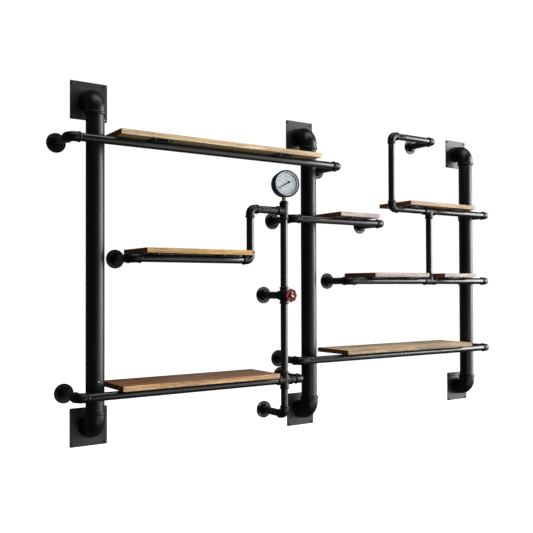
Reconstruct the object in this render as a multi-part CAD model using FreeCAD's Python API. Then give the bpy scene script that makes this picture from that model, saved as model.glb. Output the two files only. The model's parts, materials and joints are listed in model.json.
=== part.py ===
import FreeCAD, Part
import math
import os

# Wall-mounted shelving unit built from threaded pipe and fittings.
# X runs along the wall to the right, the room is on the -Y side, Z is up and the wall face is y = 0.
# The origin is the centre of the left upright's lower wall plate, on the wall face. Sizes in mm.

Vec = FreeCAD.Vector
RIGHT = Vec(1, 0, 0)
LEFT = Vec(-1, 0, 0)
TO_WALL = Vec(0, 1, 0)
TO_ROOM = Vec(0, -1, 0)
UP = Vec(0, 0, 1)
DOWN = Vec(0, 0, -1)


# ---------------------------------------------------------------- driving sizes

class PipeSize:
    """One nominal pipe size: the pipe, and the beaded fitting that screws onto it."""

    def __init__(self, od, wall, throat, socket, body_wall, bead_rise, bead_width):
        self.pipe_r = od / 2
        self.bore_r = od / 2 - wall
        self.body_r = od / 2 + body_wall
        self.bead_r = od / 2 + body_wall + bead_rise
        self.bead_width = bead_width
        self.bend = self.body_r + throat          # centre-line radius of an elbow
        self.socket = socket                      # depth of the threaded socket
        self.reach = self.bend + socket           # fitting centre to the face of its mouth


# throat is the radius on the inside of an elbow's bend
SMALL = PipeSize(od=26.9, wall=2.6, throat=2.25, socket=13.0, body_wall=2.3, bead_rise=1.8, bead_width=6.0)
LARGE = PipeSize(od=60.3, wall=3.6, throat=4.65, socket=19.0, body_wall=3.2, bead_rise=2.2, bead_width=10.0)
THREAD_GAP = 0.1            # radial gap between a pipe and the socket that it screws into
SOCKET_SPARE = 1.0          # socket depth left beyond the end of a pipe

# uprights
UPRIGHT_X = {"left": 0.0, "centre": 867.0, "right": 1772.0}
UPRIGHT_DROP = {"left": 0.0, "centre": 24.0, "right": 4.0}
PLATE_PITCH = 1073.0        # height between the centres of an upright's two wall plates
PLATE_SIDE = 127.0
PLATE_T = 4.0
UPRIGHT_DEPTH = PLATE_T + LARGE.reach       # wall to the axis of an upright
PLATE_CORNER_R = 3.0
PLATE_HOLE_R = 3.25
PLATE_HOLE_INSET = 8.5
NIPPLE_EMBED = 2.0          # how deep a large nipple stands in the counterbore of its plate
UPRIGHT_HOLE_HEIGHT = 154.0 # fixing hole in the front of the left upright
UPRIGHT_HOLE_R = 2.1

# wall flanges of the small pipework
FLANGE_T = 5.0
FLANGE_HEIGHT = 19.0
FLANGE_HUB_R = SMALL.pipe_r + 3.55          # at the front of the hub
FLANGE_HUB_FOOT_R = SMALL.pipe_r + 7.05
FLANGE_RIM = 11.5                           # foot of the hub to the edge
FLANGE_R = FLANGE_HUB_FOOT_R + FLANGE_RIM
FLANGE_HOLES = 4
FLANGE_HOLE_R = 2.25
FLANGE_HOLE_MARGIN = 0.75                   # foot of the hub to a hole
FLANGE_HOLE_PCD = 2 * (FLANGE_HUB_FOOT_R + FLANGE_HOLE_MARGIN + FLANGE_HOLE_R)

# shelf pipework: heights of the pipe axes and places of the fittings along the wall
RAIL_DEPTH = 139.5          # wall to the plane of the pipe axes
TOP_LEFT_Z = 924.0
TOP_LEFT_X = (-109.5, 956.0)
MIDDLE_LEFT_Z = 552.5
MIDDLE_LEFT_X = (92.5, 546.5)
BRANCH_Z = 736.0            # short top run from the middle left riser to the centre riser
BOTTOM_LEFT_Z = 114.5
BOTTOM_LEFT_X = (-83.0, 772.0)
CENTRE_RISER_X = 694.0
CENTRE_RISER_FOOT_Z = -10.5
VALVE_Z = 425.5
TOP_CENTRE_Z = 711.0
TOP_CENTRE_X = (735.0, 1181.0)
FLANGE_GAP = 1.5            # between the flanges of the two bottom rails, one above the other
BOTTOM_RIGHT_Z = BOTTOM_LEFT_Z + 2 * FLANGE_R + FLANGE_GAP
PAST_UPRIGHT = UPRIGHT_X["right"] + LARGE.pipe_r + SMALL.pipe_r     # an arm that would touch its right side
BOTTOM_RIGHT_X = (762.0, PAST_UPRIGHT + 4.4)
MIDDLE_RIGHT_Z = 479.5
MIDDLE_RIGHT_X = (1005.0, PAST_UPRIGHT + 1.4)
TOP_RIGHT_Z = 776.5
TOP_RIGHT_X = (1236.0, PAST_UPRIGHT + 5.4)
LOOP_Z = 1075.5             # top run of the loop on the top right rail
LOOP_END_X = 1479.0
LINK_POST_X = 1451.0

# boards
BOARD_OVERHANG = 50.5       # pipe axis to the front edge
BOARD_FRONT = RAIL_DEPTH + BOARD_OVERHANG
BOARD_BACK_GAP = 1.0
BOARD_T = 17.0
BOARD_ARRIS = 1.2
BOARD_RELIEF_GAP = 0.5      # round a fitting that stands under a board

# every board: height of its pipe axis, then each end as the place that it stands off from and the distance
LEFT_UPRIGHT_FACE = UPRIGHT_X["left"] + LARGE.pipe_r
CENTRE_UPRIGHT_FACES = (UPRIGHT_X["centre"] - LARGE.pipe_r, UPRIGHT_X["centre"] + LARGE.pipe_r)
RIGHT_UPRIGHT_FACE = UPRIGHT_X["right"] - LARGE.pipe_r
LINK_POST_FACES = (LINK_POST_X - SMALL.reach, LINK_POST_X + SMALL.reach)
BOARDS = {
    "board_top_left": (TOP_LEFT_Z, LEFT_UPRIGHT_FACE + 6.35, CENTRE_UPRIGHT_FACES[0] - 3.0),
    "board_middle_left": (MIDDLE_LEFT_Z, MIDDLE_LEFT_X[0] + SMALL.reach + 0.5, MIDDLE_LEFT_X[1] - 22.0),
    "board_bottom_left": (BOTTOM_LEFT_Z, LEFT_UPRIGHT_FACE + 12.35, CENTRE_RISER_X - SMALL.reach - 24.0),
    "board_top_centre": (TOP_CENTRE_Z, CENTRE_UPRIGHT_FACES[1] + 27.85, TOP_CENTRE_X[1] - SMALL.reach - 27.0),
    "board_bottom_right": (BOTTOM_RIGHT_Z, CENTRE_UPRIGHT_FACES[1] + 58.85, RIGHT_UPRIGHT_FACE - 83.85),
    "board_middle_right_long": (MIDDLE_RIGHT_Z, MIDDLE_RIGHT_X[0] + SMALL.reach + 62.5,
                                LINK_POST_FACES[0] - 20.5),
    "board_middle_right_short": (MIDDLE_RIGHT_Z, LINK_POST_FACES[1] + 10.5, RIGHT_UPRIGHT_FACE - 53.85),
    "board_top_right": (TOP_RIGHT_Z, TOP_RIGHT_X[0] + SMALL.reach + 28.0, RIGHT_UPRIGHT_FACE - 53.35),
}

# saddle plates between a pipe and the board on it
SADDLE_T = 2.0
SADDLE_WIDTH = 72.0
SADDLE_LENGTH = 80.0
SADDLE_CRADLE_WIDTH = 18.0
SADDLE_CRADLE_DROP = 4.0
SADDLE_GAP = 0.1
SADDLE_SHARE = 0.19         # place of a long board's outer saddles, as a share of its length
SHORT_BOARD = 250.0         # a board shorter than this has one saddle

# valve on the centre riser
VALVE_BULGE_R = SMALL.body_r + 5.0          # round middle of the body
STEM_R = 4.0
STEM_RUNNING_GAP = 0.08
STEM_SCREW_R = STEM_R - 0.8
STEM_TIP_R = STEM_R - 1.0
STEM_COLLAR_R = STEM_R + 2.5
STEM_END_SHOW = 1.0         # stem screw behind the plug
STEM_COLLAR_T = 3.0
COLLAR_END_GAP = 0.15
PLUG_GAP = 0.65             # radial gap to the waterway
PLUG_R = SMALL.bore_r - PLUG_GAP
PLUG_LENGTH = 12.0
BONNET_HEX = 30.0           # across flats
BONNET_HEX_T = 4.5
PACKING_HEX = 2 * STEM_R + 11.0             # across flats
PACKING_HEX_T = 3.5
WHEEL_BACK_GAP = 0.5        # packing nut to the hub of the handwheel
WHEEL_R = 24.8
WHEEL_LOBES = 8
WHEEL_NOTCH_R = 4.8
WHEEL_NOTCH_DEPTH = 4.0
WHEEL_RIM_T = 8.0
WHEEL_RIM_R = 17.2          # inside of the rim
WHEEL_RIM_EDGE = 1.6        # bevel on the rim
WHEEL_WEB_T = 3.0
WHEEL_HUB_R = STEM_TIP_R + 4.2
WHEEL_HUB_T = 7.0
WHEEL_WINDOWS = 5
WHEEL_WINDOW_R = 3.9
WHEEL_WINDOW_RING_R = 11.9
WHEEL_NUT_HEX = 9.0
WHEEL_NUT_T = 3.0
STEM_TIP_SHOW = 0.8         # stem beyond the handwheel's nut

# pressure gauge on top of the centre riser
GAUGE_TURN = -13.0          # degrees about Z, towards the left
GAUGE_CASE_R = 47.0
GAUGE_CASE_BACK = 9.0       # from the axis of the socket
GAUGE_CASE_FRONT = 28.0
GAUGE_WALL = 1.5
BEZEL_R = GAUGE_CASE_R + 3.0
BEZEL_DEPTH = 10.0
BEZEL_LIP = 2.0
BEZEL_SIGHT_R = GAUGE_CASE_R - 2.8
BEZEL_FIT = 0.1
GLASS_T = 2.0
DIAL_BACK = 17.0            # axis of the socket to the back of the dial
DIAL_T = 0.8
DIAL_RIM_T = 1.6
DIAL_RIM_GAP = 0.2          # rim of the dial to the glass
DIAL_HOLE_R = 3.0
POINTER_GAP = 1.7           # dial to the back of the pointer
POINTER_BACK = DIAL_BACK + DIAL_T + POINTER_GAP
POINTER_T = 0.8
POINTER_LENGTH = BEZEL_SIGHT_R - 9.7
POINTER_TAIL = 13.5
POINTER_TAIL_R = 4.2
POINTER_HUB_R = 2.8
POINTER_ROOT = 1.5          # half width at the hub
POINTER_TIP = 0.7           # half width at the tip
POINTER_ANGLE = 209.0       # rest direction seen from the front, anticlockwise from the right
POINTER_SHAFT_R = 1.5
POINTER_RUNNING_GAP = 0.06
MOVEMENT_WIDTH = 26.0
MOVEMENT_TOP = 11.0         # above the pointer shaft
MOVEMENT_PLATE_T = 1.6
MOVEMENT_FRONT_Y = -9.0
MOVEMENT_BACK_Y = 2.0
SOCKET_BLOCK = (14.0, 12.0, 14.0)
SOCKET_NECK_RISE = 3.0      # neck inside the case
SOCKET_STEM_R = 6.0
SOCKET_STEM_HEX = 14.0
SOCKET_HEX_GAP = 1.0        # hexagon to the rim of the case
SOCKET_THREAD_R = 6.5
BUSHING_HEX = 26.0
BUSHING_HEX_T = 5.5
GAUGE_NECK = 11.2           # bushing to the edge of the bezel
GAUGE_Z = BRANCH_Z + SMALL.reach + BUSHING_HEX_T + GAUGE_NECK + BEZEL_R


# ---------------------------------------------------------------- shapes

def cylinder(direction, start, length, radius):
    """Cylinder on the axis through the origin, from start and on by length along direction."""
    return Part.makeCylinder(radius, length, direction * start, direction)


def tube(start, end, outer_r, inner_r):
    axis = end - start
    outer = Part.makeCylinder(outer_r, axis.Length, start, axis)
    return outer.cut(Part.makeCylinder(inner_r, axis.Length, start, axis))


def hexagon(across_flats, direction, start, length):
    """Hexagonal prism on the axis through the origin."""
    corner_r = across_flats / math.sqrt(3)
    corners = [Vec(corner_r * math.cos(math.radians(60 * k)), corner_r * math.sin(math.radians(60 * k)), 0)
               for k in range(7)]
    prism = Part.Face(Part.makePolygon(corners)).extrude(Vec(0, 0, length))
    prism.Placement = FreeCAD.Placement(direction * start, FreeCAD.Rotation(UP, direction))
    return prism


def circular_edges(shape):
    return [edge for edge in shape.Edges if edge.Curve.TypeId == "Part::GeomCircle"]


def placed(shape, position, rotation=FreeCAD.Rotation()):
    copy = shape.copy()
    copy.Placement = FreeCAD.Placement(position, rotation).multiply(copy.Placement)
    return copy


def swept_quarter(bend_r, radius):
    """Quarter bend between the mouth directions RIGHT and UP, about an axis along Y."""
    section = Part.Face(Part.Wire(Part.makeCircle(radius, Vec(bend_r, 0, 0), RIGHT)))
    return section.revolve(Vec(bend_r, 0, bend_r), TO_WALL, 90)


def with_mouths(size, blank, mouths):
    """Adds a bead and cuts a threaded socket at each mouth."""
    body = blank
    for mouth in mouths:
        body = body.fuse(cylinder(mouth, size.reach - size.bead_width, size.bead_width, size.bead_r))
    for mouth in mouths:
        body = body.cut(cylinder(mouth, size.bend, size.socket, size.pipe_r + THREAD_GAP))
    return body


def elbow(size):
    """90 degree elbow with its mouths along RIGHT and UP."""
    blank = swept_quarter(size.bend, size.body_r)
    for mouth in (RIGHT, UP):
        blank = blank.fuse(cylinder(mouth, size.bend, size.socket, size.body_r))
    return with_mouths(size, blank, (RIGHT, UP))


def branched(size, mouths, bulge_r=0):
    """Tee or cross with straight arms along the given mouths, and a round middle of radius bulge_r, if any."""
    blank = cylinder(mouths[0], 0, size.reach, size.body_r)
    for mouth in mouths[1:]:
        blank = blank.fuse(cylinder(mouth, 0, size.reach, size.body_r))
    if bulge_r:
        blank = blank.fuse(Part.makeSphere(bulge_r))
    return with_mouths(size, blank, mouths)


def turned_elbow(blank, position, first, second):
    """The elbow at position, with its mouths turned to first and second."""
    rotation = FreeCAD.Rotation(first, second.cross(first), second, "XYZ")
    return placed(blank, position, rotation)


def pipe_between(size, start_centre, end_centre):
    """Pipe from one fitting to the next, screwed into both."""
    axis = (end_centre - start_centre).normalize()
    inset = size.bend + SOCKET_SPARE
    return tube(start_centre + axis * inset, end_centre - axis * inset, size.pipe_r, size.bore_r)


def rail_point(x, z):
    return Vec(x, -RAIL_DEPTH, z)


# ---------------------------------------------------------------- uprights

def wall_plate():
    half = PLATE_SIDE / 2
    plate = Part.makeBox(PLATE_SIDE, PLATE_T, PLATE_SIDE, Vec(-half, -PLATE_T, -half))
    corners = [edge for edge in plate.Edges if abs(edge.tangentAt(edge.FirstParameter).y) > 0.9]
    plate = plate.makeFillet(PLATE_CORNER_R, corners)
    reach = half - PLATE_HOLE_INSET
    for x in (-reach, reach):
        for z in (-reach, reach):
            plate = plate.cut(Part.makeCylinder(PLATE_HOLE_R, PLATE_T, Vec(x, 0, z), TO_ROOM))
    seat_r = LARGE.pipe_r + THREAD_GAP
    return plate.cut(cylinder(TO_ROOM, PLATE_T - NIPPLE_EMBED, NIPPLE_EMBED, seat_r))


def large_nipple():
    """Short pipe from the wall plate into the elbow."""
    start = TO_ROOM * (PLATE_T - NIPPLE_EMBED)
    end = TO_ROOM * (UPRIGHT_DEPTH - LARGE.bend - SOCKET_SPARE)
    return tube(start, end, LARGE.pipe_r, LARGE.bore_r)


def uprights():
    nodes = {"upright_nipples": [], "wall_plates": []}
    plate = wall_plate()
    nipple = large_nipple()
    bend = elbow(LARGE)
    for side, x in UPRIGHT_X.items():
        low = Vec(x, 0, -UPRIGHT_DROP[side])
        high = low + UP * PLATE_PITCH
        forward = TO_ROOM * UPRIGHT_DEPTH
        pipe = pipe_between(LARGE, low + forward, high + forward)
        if side == "left":
            hole = cylinder(TO_ROOM, 0, LARGE.pipe_r, UPRIGHT_HOLE_R)
            pipe = pipe.cut(placed(hole, Vec(x, -UPRIGHT_DEPTH, UPRIGHT_HOLE_HEIGHT)))
        nodes[side + "_upright_pipe"] = [pipe]
        nodes[side + "_upright_elbows"] = [turned_elbow(bend, low + forward, TO_WALL, UP),
                                           turned_elbow(bend, high + forward, TO_WALL, DOWN)]
        for centre in (low, high):
            nodes["wall_plates"].append(placed(plate, centre))
            nodes["upright_nipples"].append(placed(nipple, centre))
    return nodes


# ---------------------------------------------------------------- small pipework

def wall_flange():
    """Round screw-on flange with a tapered hub."""
    disc = cylinder(TO_ROOM, 0, FLANGE_T, FLANGE_R)
    hub_height = FLANGE_HEIGHT - FLANGE_T
    hub = Part.makeCone(FLANGE_HUB_FOOT_R, FLANGE_HUB_R, hub_height, TO_ROOM * FLANGE_T, TO_ROOM)
    flange = disc.fuse(hub)
    flange = flange.cut(cylinder(TO_ROOM, 0, FLANGE_HEIGHT, SMALL.pipe_r + THREAD_GAP))
    for k in range(FLANGE_HOLES):
        angle = math.radians(360 / FLANGE_HOLES * (k + 0.5))
        place = Vec(math.cos(angle), 0, math.sin(angle)) * (FLANGE_HOLE_PCD / 2)
        flange = flange.cut(Part.makeCylinder(FLANGE_HOLE_R, FLANGE_T, place, TO_ROOM))
    return flange


def arm_nipple():
    """Pipe from the wall flange to the fitting in the rail plane."""
    end = RAIL_DEPTH - SMALL.bend - SOCKET_SPARE
    return tube(TO_ROOM * SOCKET_SPARE, TO_ROOM * end, SMALL.pipe_r, SMALL.bore_r)


def corners():
    """Every small elbow: node, centre and the directions of its two mouths."""
    left, right = "left_pipe_elbows", "right_pipe_elbows"
    rails = ((left, TOP_LEFT_X, TOP_LEFT_Z), (left, BOTTOM_LEFT_X, BOTTOM_LEFT_Z),
             (right, TOP_CENTRE_X, TOP_CENTRE_Z), (right, BOTTOM_RIGHT_X, BOTTOM_RIGHT_Z),
             (right, MIDDLE_RIGHT_X, MIDDLE_RIGHT_Z))
    found = []
    for node, ends, z in rails:
        found.append((node, rail_point(ends[0], z), TO_WALL, RIGHT))
        found.append((node, rail_point(ends[1], z), TO_WALL, LEFT))
    found.append((left, rail_point(MIDDLE_LEFT_X[0], MIDDLE_LEFT_Z), TO_WALL, RIGHT))
    found.append((left, rail_point(MIDDLE_LEFT_X[1], MIDDLE_LEFT_Z), LEFT, UP))
    found.append((left, rail_point(MIDDLE_LEFT_X[1], BRANCH_Z), DOWN, RIGHT))
    found.append((left, rail_point(CENTRE_RISER_X, CENTRE_RISER_FOOT_Z), TO_WALL, UP))
    found.append((right, rail_point(TOP_RIGHT_X[0], TOP_RIGHT_Z), UP, RIGHT))
    found.append((right, rail_point(TOP_RIGHT_X[0], LOOP_Z), DOWN, RIGHT))
    found.append((right, rail_point(LOOP_END_X, LOOP_Z), TO_WALL, LEFT))
    found.append((right, rail_point(TOP_RIGHT_X[1], TOP_RIGHT_Z), TO_WALL, LEFT))
    return found


def wall_feet():
    """Every place where the small pipework meets the wall."""
    feet = [centre for _, centre, first, _ in corners() if first == TO_WALL]
    feet.append(rail_point(CENTRE_RISER_X, VALVE_Z))
    return [Vec(centre.x, 0, centre.z) for centre in feet]


def pipe_runs():
    """Every straight pipe of the rails: node, then the fitting centres along it."""
    x = CENTRE_RISER_X
    riser_fittings = (CENTRE_RISER_FOOT_Z, BOTTOM_LEFT_Z, VALVE_Z, BRANCH_Z)
    return [
        ("top_left_pipe", [rail_point(end, TOP_LEFT_Z) for end in TOP_LEFT_X]),
        ("middle_left_pipe", [rail_point(end, MIDDLE_LEFT_Z) for end in MIDDLE_LEFT_X]),
        ("middle_left_riser", [rail_point(MIDDLE_LEFT_X[1], z) for z in (MIDDLE_LEFT_Z, BRANCH_Z)]),
        ("branch_pipe", [rail_point(MIDDLE_LEFT_X[1], BRANCH_Z), rail_point(x, BRANCH_Z)]),
        ("bottom_left_pipe", [rail_point(BOTTOM_LEFT_X[0], BOTTOM_LEFT_Z), rail_point(x, BOTTOM_LEFT_Z)]),
        ("bottom_left_stub", [rail_point(x, BOTTOM_LEFT_Z), rail_point(BOTTOM_LEFT_X[1], BOTTOM_LEFT_Z)]),
        ("centre_riser_pipes", [rail_point(x, z) for z in riser_fittings]),
        ("top_centre_pipe", [rail_point(end, TOP_CENTRE_Z) for end in TOP_CENTRE_X]),
        ("bottom_right_pipe", [rail_point(end, BOTTOM_RIGHT_Z) for end in BOTTOM_RIGHT_X]),
        ("middle_right_pipes", [rail_point(MIDDLE_RIGHT_X[0], MIDDLE_RIGHT_Z),
                                rail_point(LINK_POST_X, MIDDLE_RIGHT_Z),
                                rail_point(MIDDLE_RIGHT_X[1], MIDDLE_RIGHT_Z)]),
        ("top_right_pipes", [rail_point(TOP_RIGHT_X[0], TOP_RIGHT_Z), rail_point(LINK_POST_X, TOP_RIGHT_Z),
                             rail_point(TOP_RIGHT_X[1], TOP_RIGHT_Z)]),
        ("loop_riser", [rail_point(TOP_RIGHT_X[0], z) for z in (TOP_RIGHT_Z, LOOP_Z)]),
        ("loop_top_pipe", [rail_point(TOP_RIGHT_X[0], LOOP_Z), rail_point(LOOP_END_X, LOOP_Z)]),
        ("link_post", [rail_point(LINK_POST_X, z) for z in (MIDDLE_RIGHT_Z, TOP_RIGHT_Z)]),
    ]


def small_pipework():
    bend = elbow(SMALL)
    flange = wall_flange()
    nipple = arm_nipple()
    nodes = {"wall_flanges": [], "arm_nipples": [], "left_pipe_elbows": [], "right_pipe_elbows": []}
    for node, centre, first, second in corners():
        nodes[node].append(turned_elbow(bend, centre, first, second))
    for foot in wall_feet():
        nodes["wall_flanges"].append(placed(flange, foot))
        nodes["arm_nipples"].append(placed(nipple, foot))
    for node, centres in pipe_runs():
        nodes[node] = [pipe_between(SMALL, start, end) for start, end in zip(centres, centres[1:])]
    nodes["pipe_tees"] = [
        placed(branched(SMALL, (UP, DOWN, LEFT)), rail_point(CENTRE_RISER_X, BRANCH_Z)),
        placed(branched(SMALL, (LEFT, RIGHT, DOWN)), rail_point(LINK_POST_X, TOP_RIGHT_Z)),
        placed(branched(SMALL, (LEFT, RIGHT, UP)), rail_point(LINK_POST_X, MIDDLE_RIGHT_Z)),
    ]
    nodes["pipe_cross"] = [placed(branched(SMALL, (UP, DOWN, LEFT, RIGHT)),
                                  rail_point(CENTRE_RISER_X, BOTTOM_LEFT_Z))]
    return nodes


# ---------------------------------------------------------------- boards and saddles

def board_bottom(pipe_z):
    return pipe_z + SMALL.pipe_r + SADDLE_GAP + SADDLE_T


def saddle_middles(start, end):
    """Places of a board's saddle plates along the wall."""
    length = end - start
    if length < SHORT_BOARD:
        return [start + length / 2]
    return [start + length * SADDLE_SHARE, end - length * SADDLE_SHARE]


def saddle_plate():
    """Plate on top of the pipe with a welded cradle below; its top face centre is the origin."""
    plate = Part.makeBox(SADDLE_WIDTH, SADDLE_LENGTH, SADDLE_T,
                         Vec(-SADDLE_WIDTH / 2, -SADDLE_LENGTH / 2, -SADDLE_T))
    cradle = Part.makeBox(SADDLE_WIDTH, SADDLE_CRADLE_WIDTH, SADDLE_CRADLE_DROP,
                          Vec(-SADDLE_WIDTH / 2, -SADDLE_CRADLE_WIDTH / 2, -SADDLE_T - SADDLE_CRADLE_DROP))
    pipe_axis = Vec(-SADDLE_WIDTH / 2, 0, -SADDLE_T - SADDLE_GAP - SMALL.pipe_r)
    pipe = Part.makeCylinder(SMALL.pipe_r + SADDLE_GAP, SADDLE_WIDTH, pipe_axis, RIGHT)
    return plate.fuse(cradle).cut(pipe)


def board(start, end, bottom):
    depth = BOARD_FRONT - BOARD_BACK_GAP
    plank = Part.makeBox(end - start, depth, BOARD_T, Vec(start, -BOARD_FRONT, bottom))
    return plank.makeChamfer(BOARD_ARRIS, plank.Edges)


def bead_reliefs():
    """Shallow pockets under a board where it covers a fitting's bead: board and pocket ends."""
    elbow_face = MIDDLE_LEFT_X[1] - SMALL.reach - BOARD_RELIEF_GAP
    tee_faces = (LINK_POST_FACES[0] - BOARD_RELIEF_GAP, LINK_POST_FACES[1] + BOARD_RELIEF_GAP)
    return [("board_middle_left", MIDDLE_LEFT_Z, elbow_face, MIDDLE_LEFT_X[1]),
            ("board_top_right", TOP_RIGHT_Z, tee_faces[0], tee_faces[1])]


def shelves():
    nodes = {"saddle_plates": []}
    saddle = saddle_plate()
    reliefs = bead_reliefs()
    for name, (pipe_z, start, end) in BOARDS.items():
        bottom = board_bottom(pipe_z)
        plank = board(start, end, bottom)
        for owner, z, low, high in reliefs:
            if owner == name:
                pocket_r = SMALL.bead_r + BOARD_RELIEF_GAP
                plank = plank.cut(Part.makeCylinder(pocket_r, high - low, rail_point(low, z), RIGHT))
        for x in saddle_middles(start, end):
            nodes["saddle_plates"].append(placed(saddle, Vec(x, -RAIL_DEPTH, bottom)))
        nodes[name] = [plank]
    return nodes


# ---------------------------------------------------------------- valve

def bonnet():
    """Screws into the front mouth of the valve body and carries the stem; the collar turns inside it."""
    spigot_start = SMALL.bend + SOCKET_SPARE
    spigot = cylinder(TO_ROOM, spigot_start, SMALL.reach - spigot_start, SMALL.pipe_r)
    body = spigot.fuse(hexagon(BONNET_HEX, TO_ROOM, SMALL.reach, BONNET_HEX_T))
    body = body.cut(cylinder(TO_ROOM, spigot_start, bonnet_front() - spigot_start, STEM_R + STEM_RUNNING_GAP))
    pocket_r = STEM_COLLAR_R + STEM_RUNNING_GAP
    pocket_end = collar_start() + STEM_COLLAR_T + COLLAR_END_GAP
    return body.cut(cylinder(TO_ROOM, spigot_start, pocket_end - spigot_start, pocket_r))


def bonnet_front():
    """Depth of the bonnet's front face in front of the riser's axis."""
    return SMALL.reach + BONNET_HEX_T


def collar_start():
    """Depth of the stem collar in front of the riser's axis."""
    return SMALL.reach - STEM_COLLAR_T


def packing_nut():
    nut = hexagon(PACKING_HEX, TO_ROOM, bonnet_front(), PACKING_HEX_T)
    return nut.cut(cylinder(TO_ROOM, bonnet_front(), PACKING_HEX_T, STEM_R + STEM_RUNNING_GAP))


def wheel_middle():
    """Depth of the handwheel's middle plane in front of the riser's axis."""
    return bonnet_front() + PACKING_HEX_T + WHEEL_BACK_GAP + WHEEL_HUB_T / 2


def valve_stem():
    """Stem from the screw inside the valve to the tip that takes the handwheel's nut."""
    hub_back = wheel_middle() - WHEEL_HUB_T / 2
    tip = wheel_middle() + WHEEL_HUB_T / 2 + WHEEL_NUT_T + STEM_TIP_SHOW
    screw_start = -PLUG_LENGTH / 2 - STEM_END_SHOW
    stem = cylinder(TO_ROOM, screw_start, collar_start() - screw_start, STEM_SCREW_R)
    stem = stem.fuse(cylinder(TO_ROOM, collar_start(), STEM_COLLAR_T, STEM_COLLAR_R))
    stem = stem.fuse(cylinder(TO_ROOM, collar_start(), hub_back - collar_start(), STEM_R))
    return stem.fuse(cylinder(TO_ROOM, hub_back, tip - hub_back, STEM_TIP_R))


def valve_plug():
    """Plug that the stem's screw draws along the front arm of the valve body."""
    plug = cylinder(TO_ROOM, -PLUG_LENGTH / 2, PLUG_LENGTH, PLUG_R)
    return plug.cut(cylinder(TO_ROOM, -PLUG_LENGTH / 2, PLUG_LENGTH, STEM_SCREW_R + STEM_RUNNING_GAP))


def handwheel():
    """Cast wheel turned from one profile: a raised hub, a thin web with round windows and a lobed rim."""
    middle = wheel_middle()
    hub, web, rim = WHEEL_HUB_T / 2, WHEEL_WEB_T / 2, WHEEL_RIM_T / 2
    bevelled = (WHEEL_R, rim - WHEEL_RIM_EDGE), (WHEEL_R - WHEEL_RIM_EDGE, rim)
    front = [(0, hub), (WHEEL_HUB_R, hub), (WHEEL_HUB_R, web), (WHEEL_RIM_R, web), (WHEEL_RIM_R, rim)]
    front += reversed(bevelled)
    outline = front + [(radius, -depth) for radius, depth in reversed(front)] + front[:1]
    profile = Part.Face(Part.makePolygon([Vec(radius, -middle - depth, 0) for radius, depth in outline]))
    wheel = profile.revolve(Vec(0, 0, 0), TO_ROOM, 360)
    for k in range(WHEEL_LOBES):
        angle = math.radians(360 / WHEEL_LOBES * (k + 0.5))
        distance = WHEEL_R + WHEEL_NOTCH_R - WHEEL_NOTCH_DEPTH
        notch = cylinder(TO_ROOM, middle - WHEEL_RIM_T / 2, WHEEL_RIM_T, WHEEL_NOTCH_R)
        wheel = wheel.cut(placed(notch, Vec(math.cos(angle), 0, math.sin(angle)) * distance))
    for k in range(WHEEL_WINDOWS):
        angle = math.radians(90 + 360 / WHEEL_WINDOWS * (k + 0.5))
        window = cylinder(TO_ROOM, middle - WHEEL_RIM_T / 2, WHEEL_RIM_T, WHEEL_WINDOW_R)
        wheel = wheel.cut(placed(window, Vec(math.cos(angle), 0, math.sin(angle)) * WHEEL_WINDOW_RING_R))
    return wheel.cut(cylinder(TO_ROOM, middle - WHEEL_HUB_T / 2, WHEEL_HUB_T, STEM_TIP_R + THREAD_GAP))


def handwheel_nut():
    start = wheel_middle() + WHEEL_HUB_T / 2
    nut = hexagon(WHEEL_NUT_HEX, TO_ROOM, start, WHEEL_NUT_T)
    return nut.cut(cylinder(TO_ROOM, start, WHEEL_NUT_T, STEM_TIP_R + THREAD_GAP))


def valve_body():
    """Cross with its waterway open, so that the plug can travel in it."""
    mouths = (UP, DOWN, TO_WALL, TO_ROOM)
    body = branched(SMALL, mouths, VALVE_BULGE_R)
    for mouth in mouths:
        body = body.cut(cylinder(mouth, 0, SMALL.bend, SMALL.bore_r))
    return body


def valve():
    shapes = {
        "valve_body": valve_body(),
        "valve_bonnet": bonnet(),
        "packing_nut": packing_nut(),
        "valve_stem": valve_stem(),
        "valve_plug": valve_plug(),
        "handwheel": handwheel(),
        "handwheel_nut": handwheel_nut(),
    }
    centre = rail_point(CENTRE_RISER_X, VALVE_Z)
    return {name: [placed(shape, centre)] for name, shape in shapes.items()}


# ---------------------------------------------------------------- gauge
# Every piece is made about the dial's centre line and the socket's axis, facing the room, and then turned
# and set on the riser.

def bushing_top():
    """Height of the bushing's top face below the dial's centre."""
    return BRANCH_Z + SMALL.reach + BUSHING_HEX_T - GAUGE_Z


def reducing_bushing():
    """Hexagon bushing that screws into the top mouth of the tee."""
    mouth = BRANCH_Z + SMALL.reach - GAUGE_Z
    thread = SMALL.socket - SOCKET_SPARE
    body = hexagon(BUSHING_HEX, UP, mouth, BUSHING_HEX_T)
    body = body.fuse(cylinder(UP, mouth - thread, thread, SMALL.pipe_r))
    return body.cut(cylinder(UP, mouth - thread, thread + BUSHING_HEX_T, SOCKET_THREAD_R + THREAD_GAP))


def neck_height():
    """Height of the socket's neck, inside the case, from the dial's centre."""
    return -GAUGE_CASE_R + GAUGE_WALL + SOCKET_NECK_RISE


def gauge_socket():
    """Brass stem: thread in the bushing, hexagon, neck through the case and a block inside it."""
    neck_top = neck_height()
    thread = cylinder(UP, bushing_top() - BUSHING_HEX_T, BUSHING_HEX_T, SOCKET_THREAD_R)
    hexagon_top = -GAUGE_CASE_R - SOCKET_HEX_GAP
    hexagon_part = hexagon(SOCKET_STEM_HEX, UP, bushing_top(), hexagon_top - bushing_top())
    neck = cylinder(UP, bushing_top(), neck_top - bushing_top(), SOCKET_STEM_R)
    width, depth, height = SOCKET_BLOCK
    block = Part.makeBox(width, depth, height, Vec(-width / 2, -depth / 2, neck_top))
    return thread.fuse(hexagon_part).fuse(neck).fuse(block)


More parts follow.
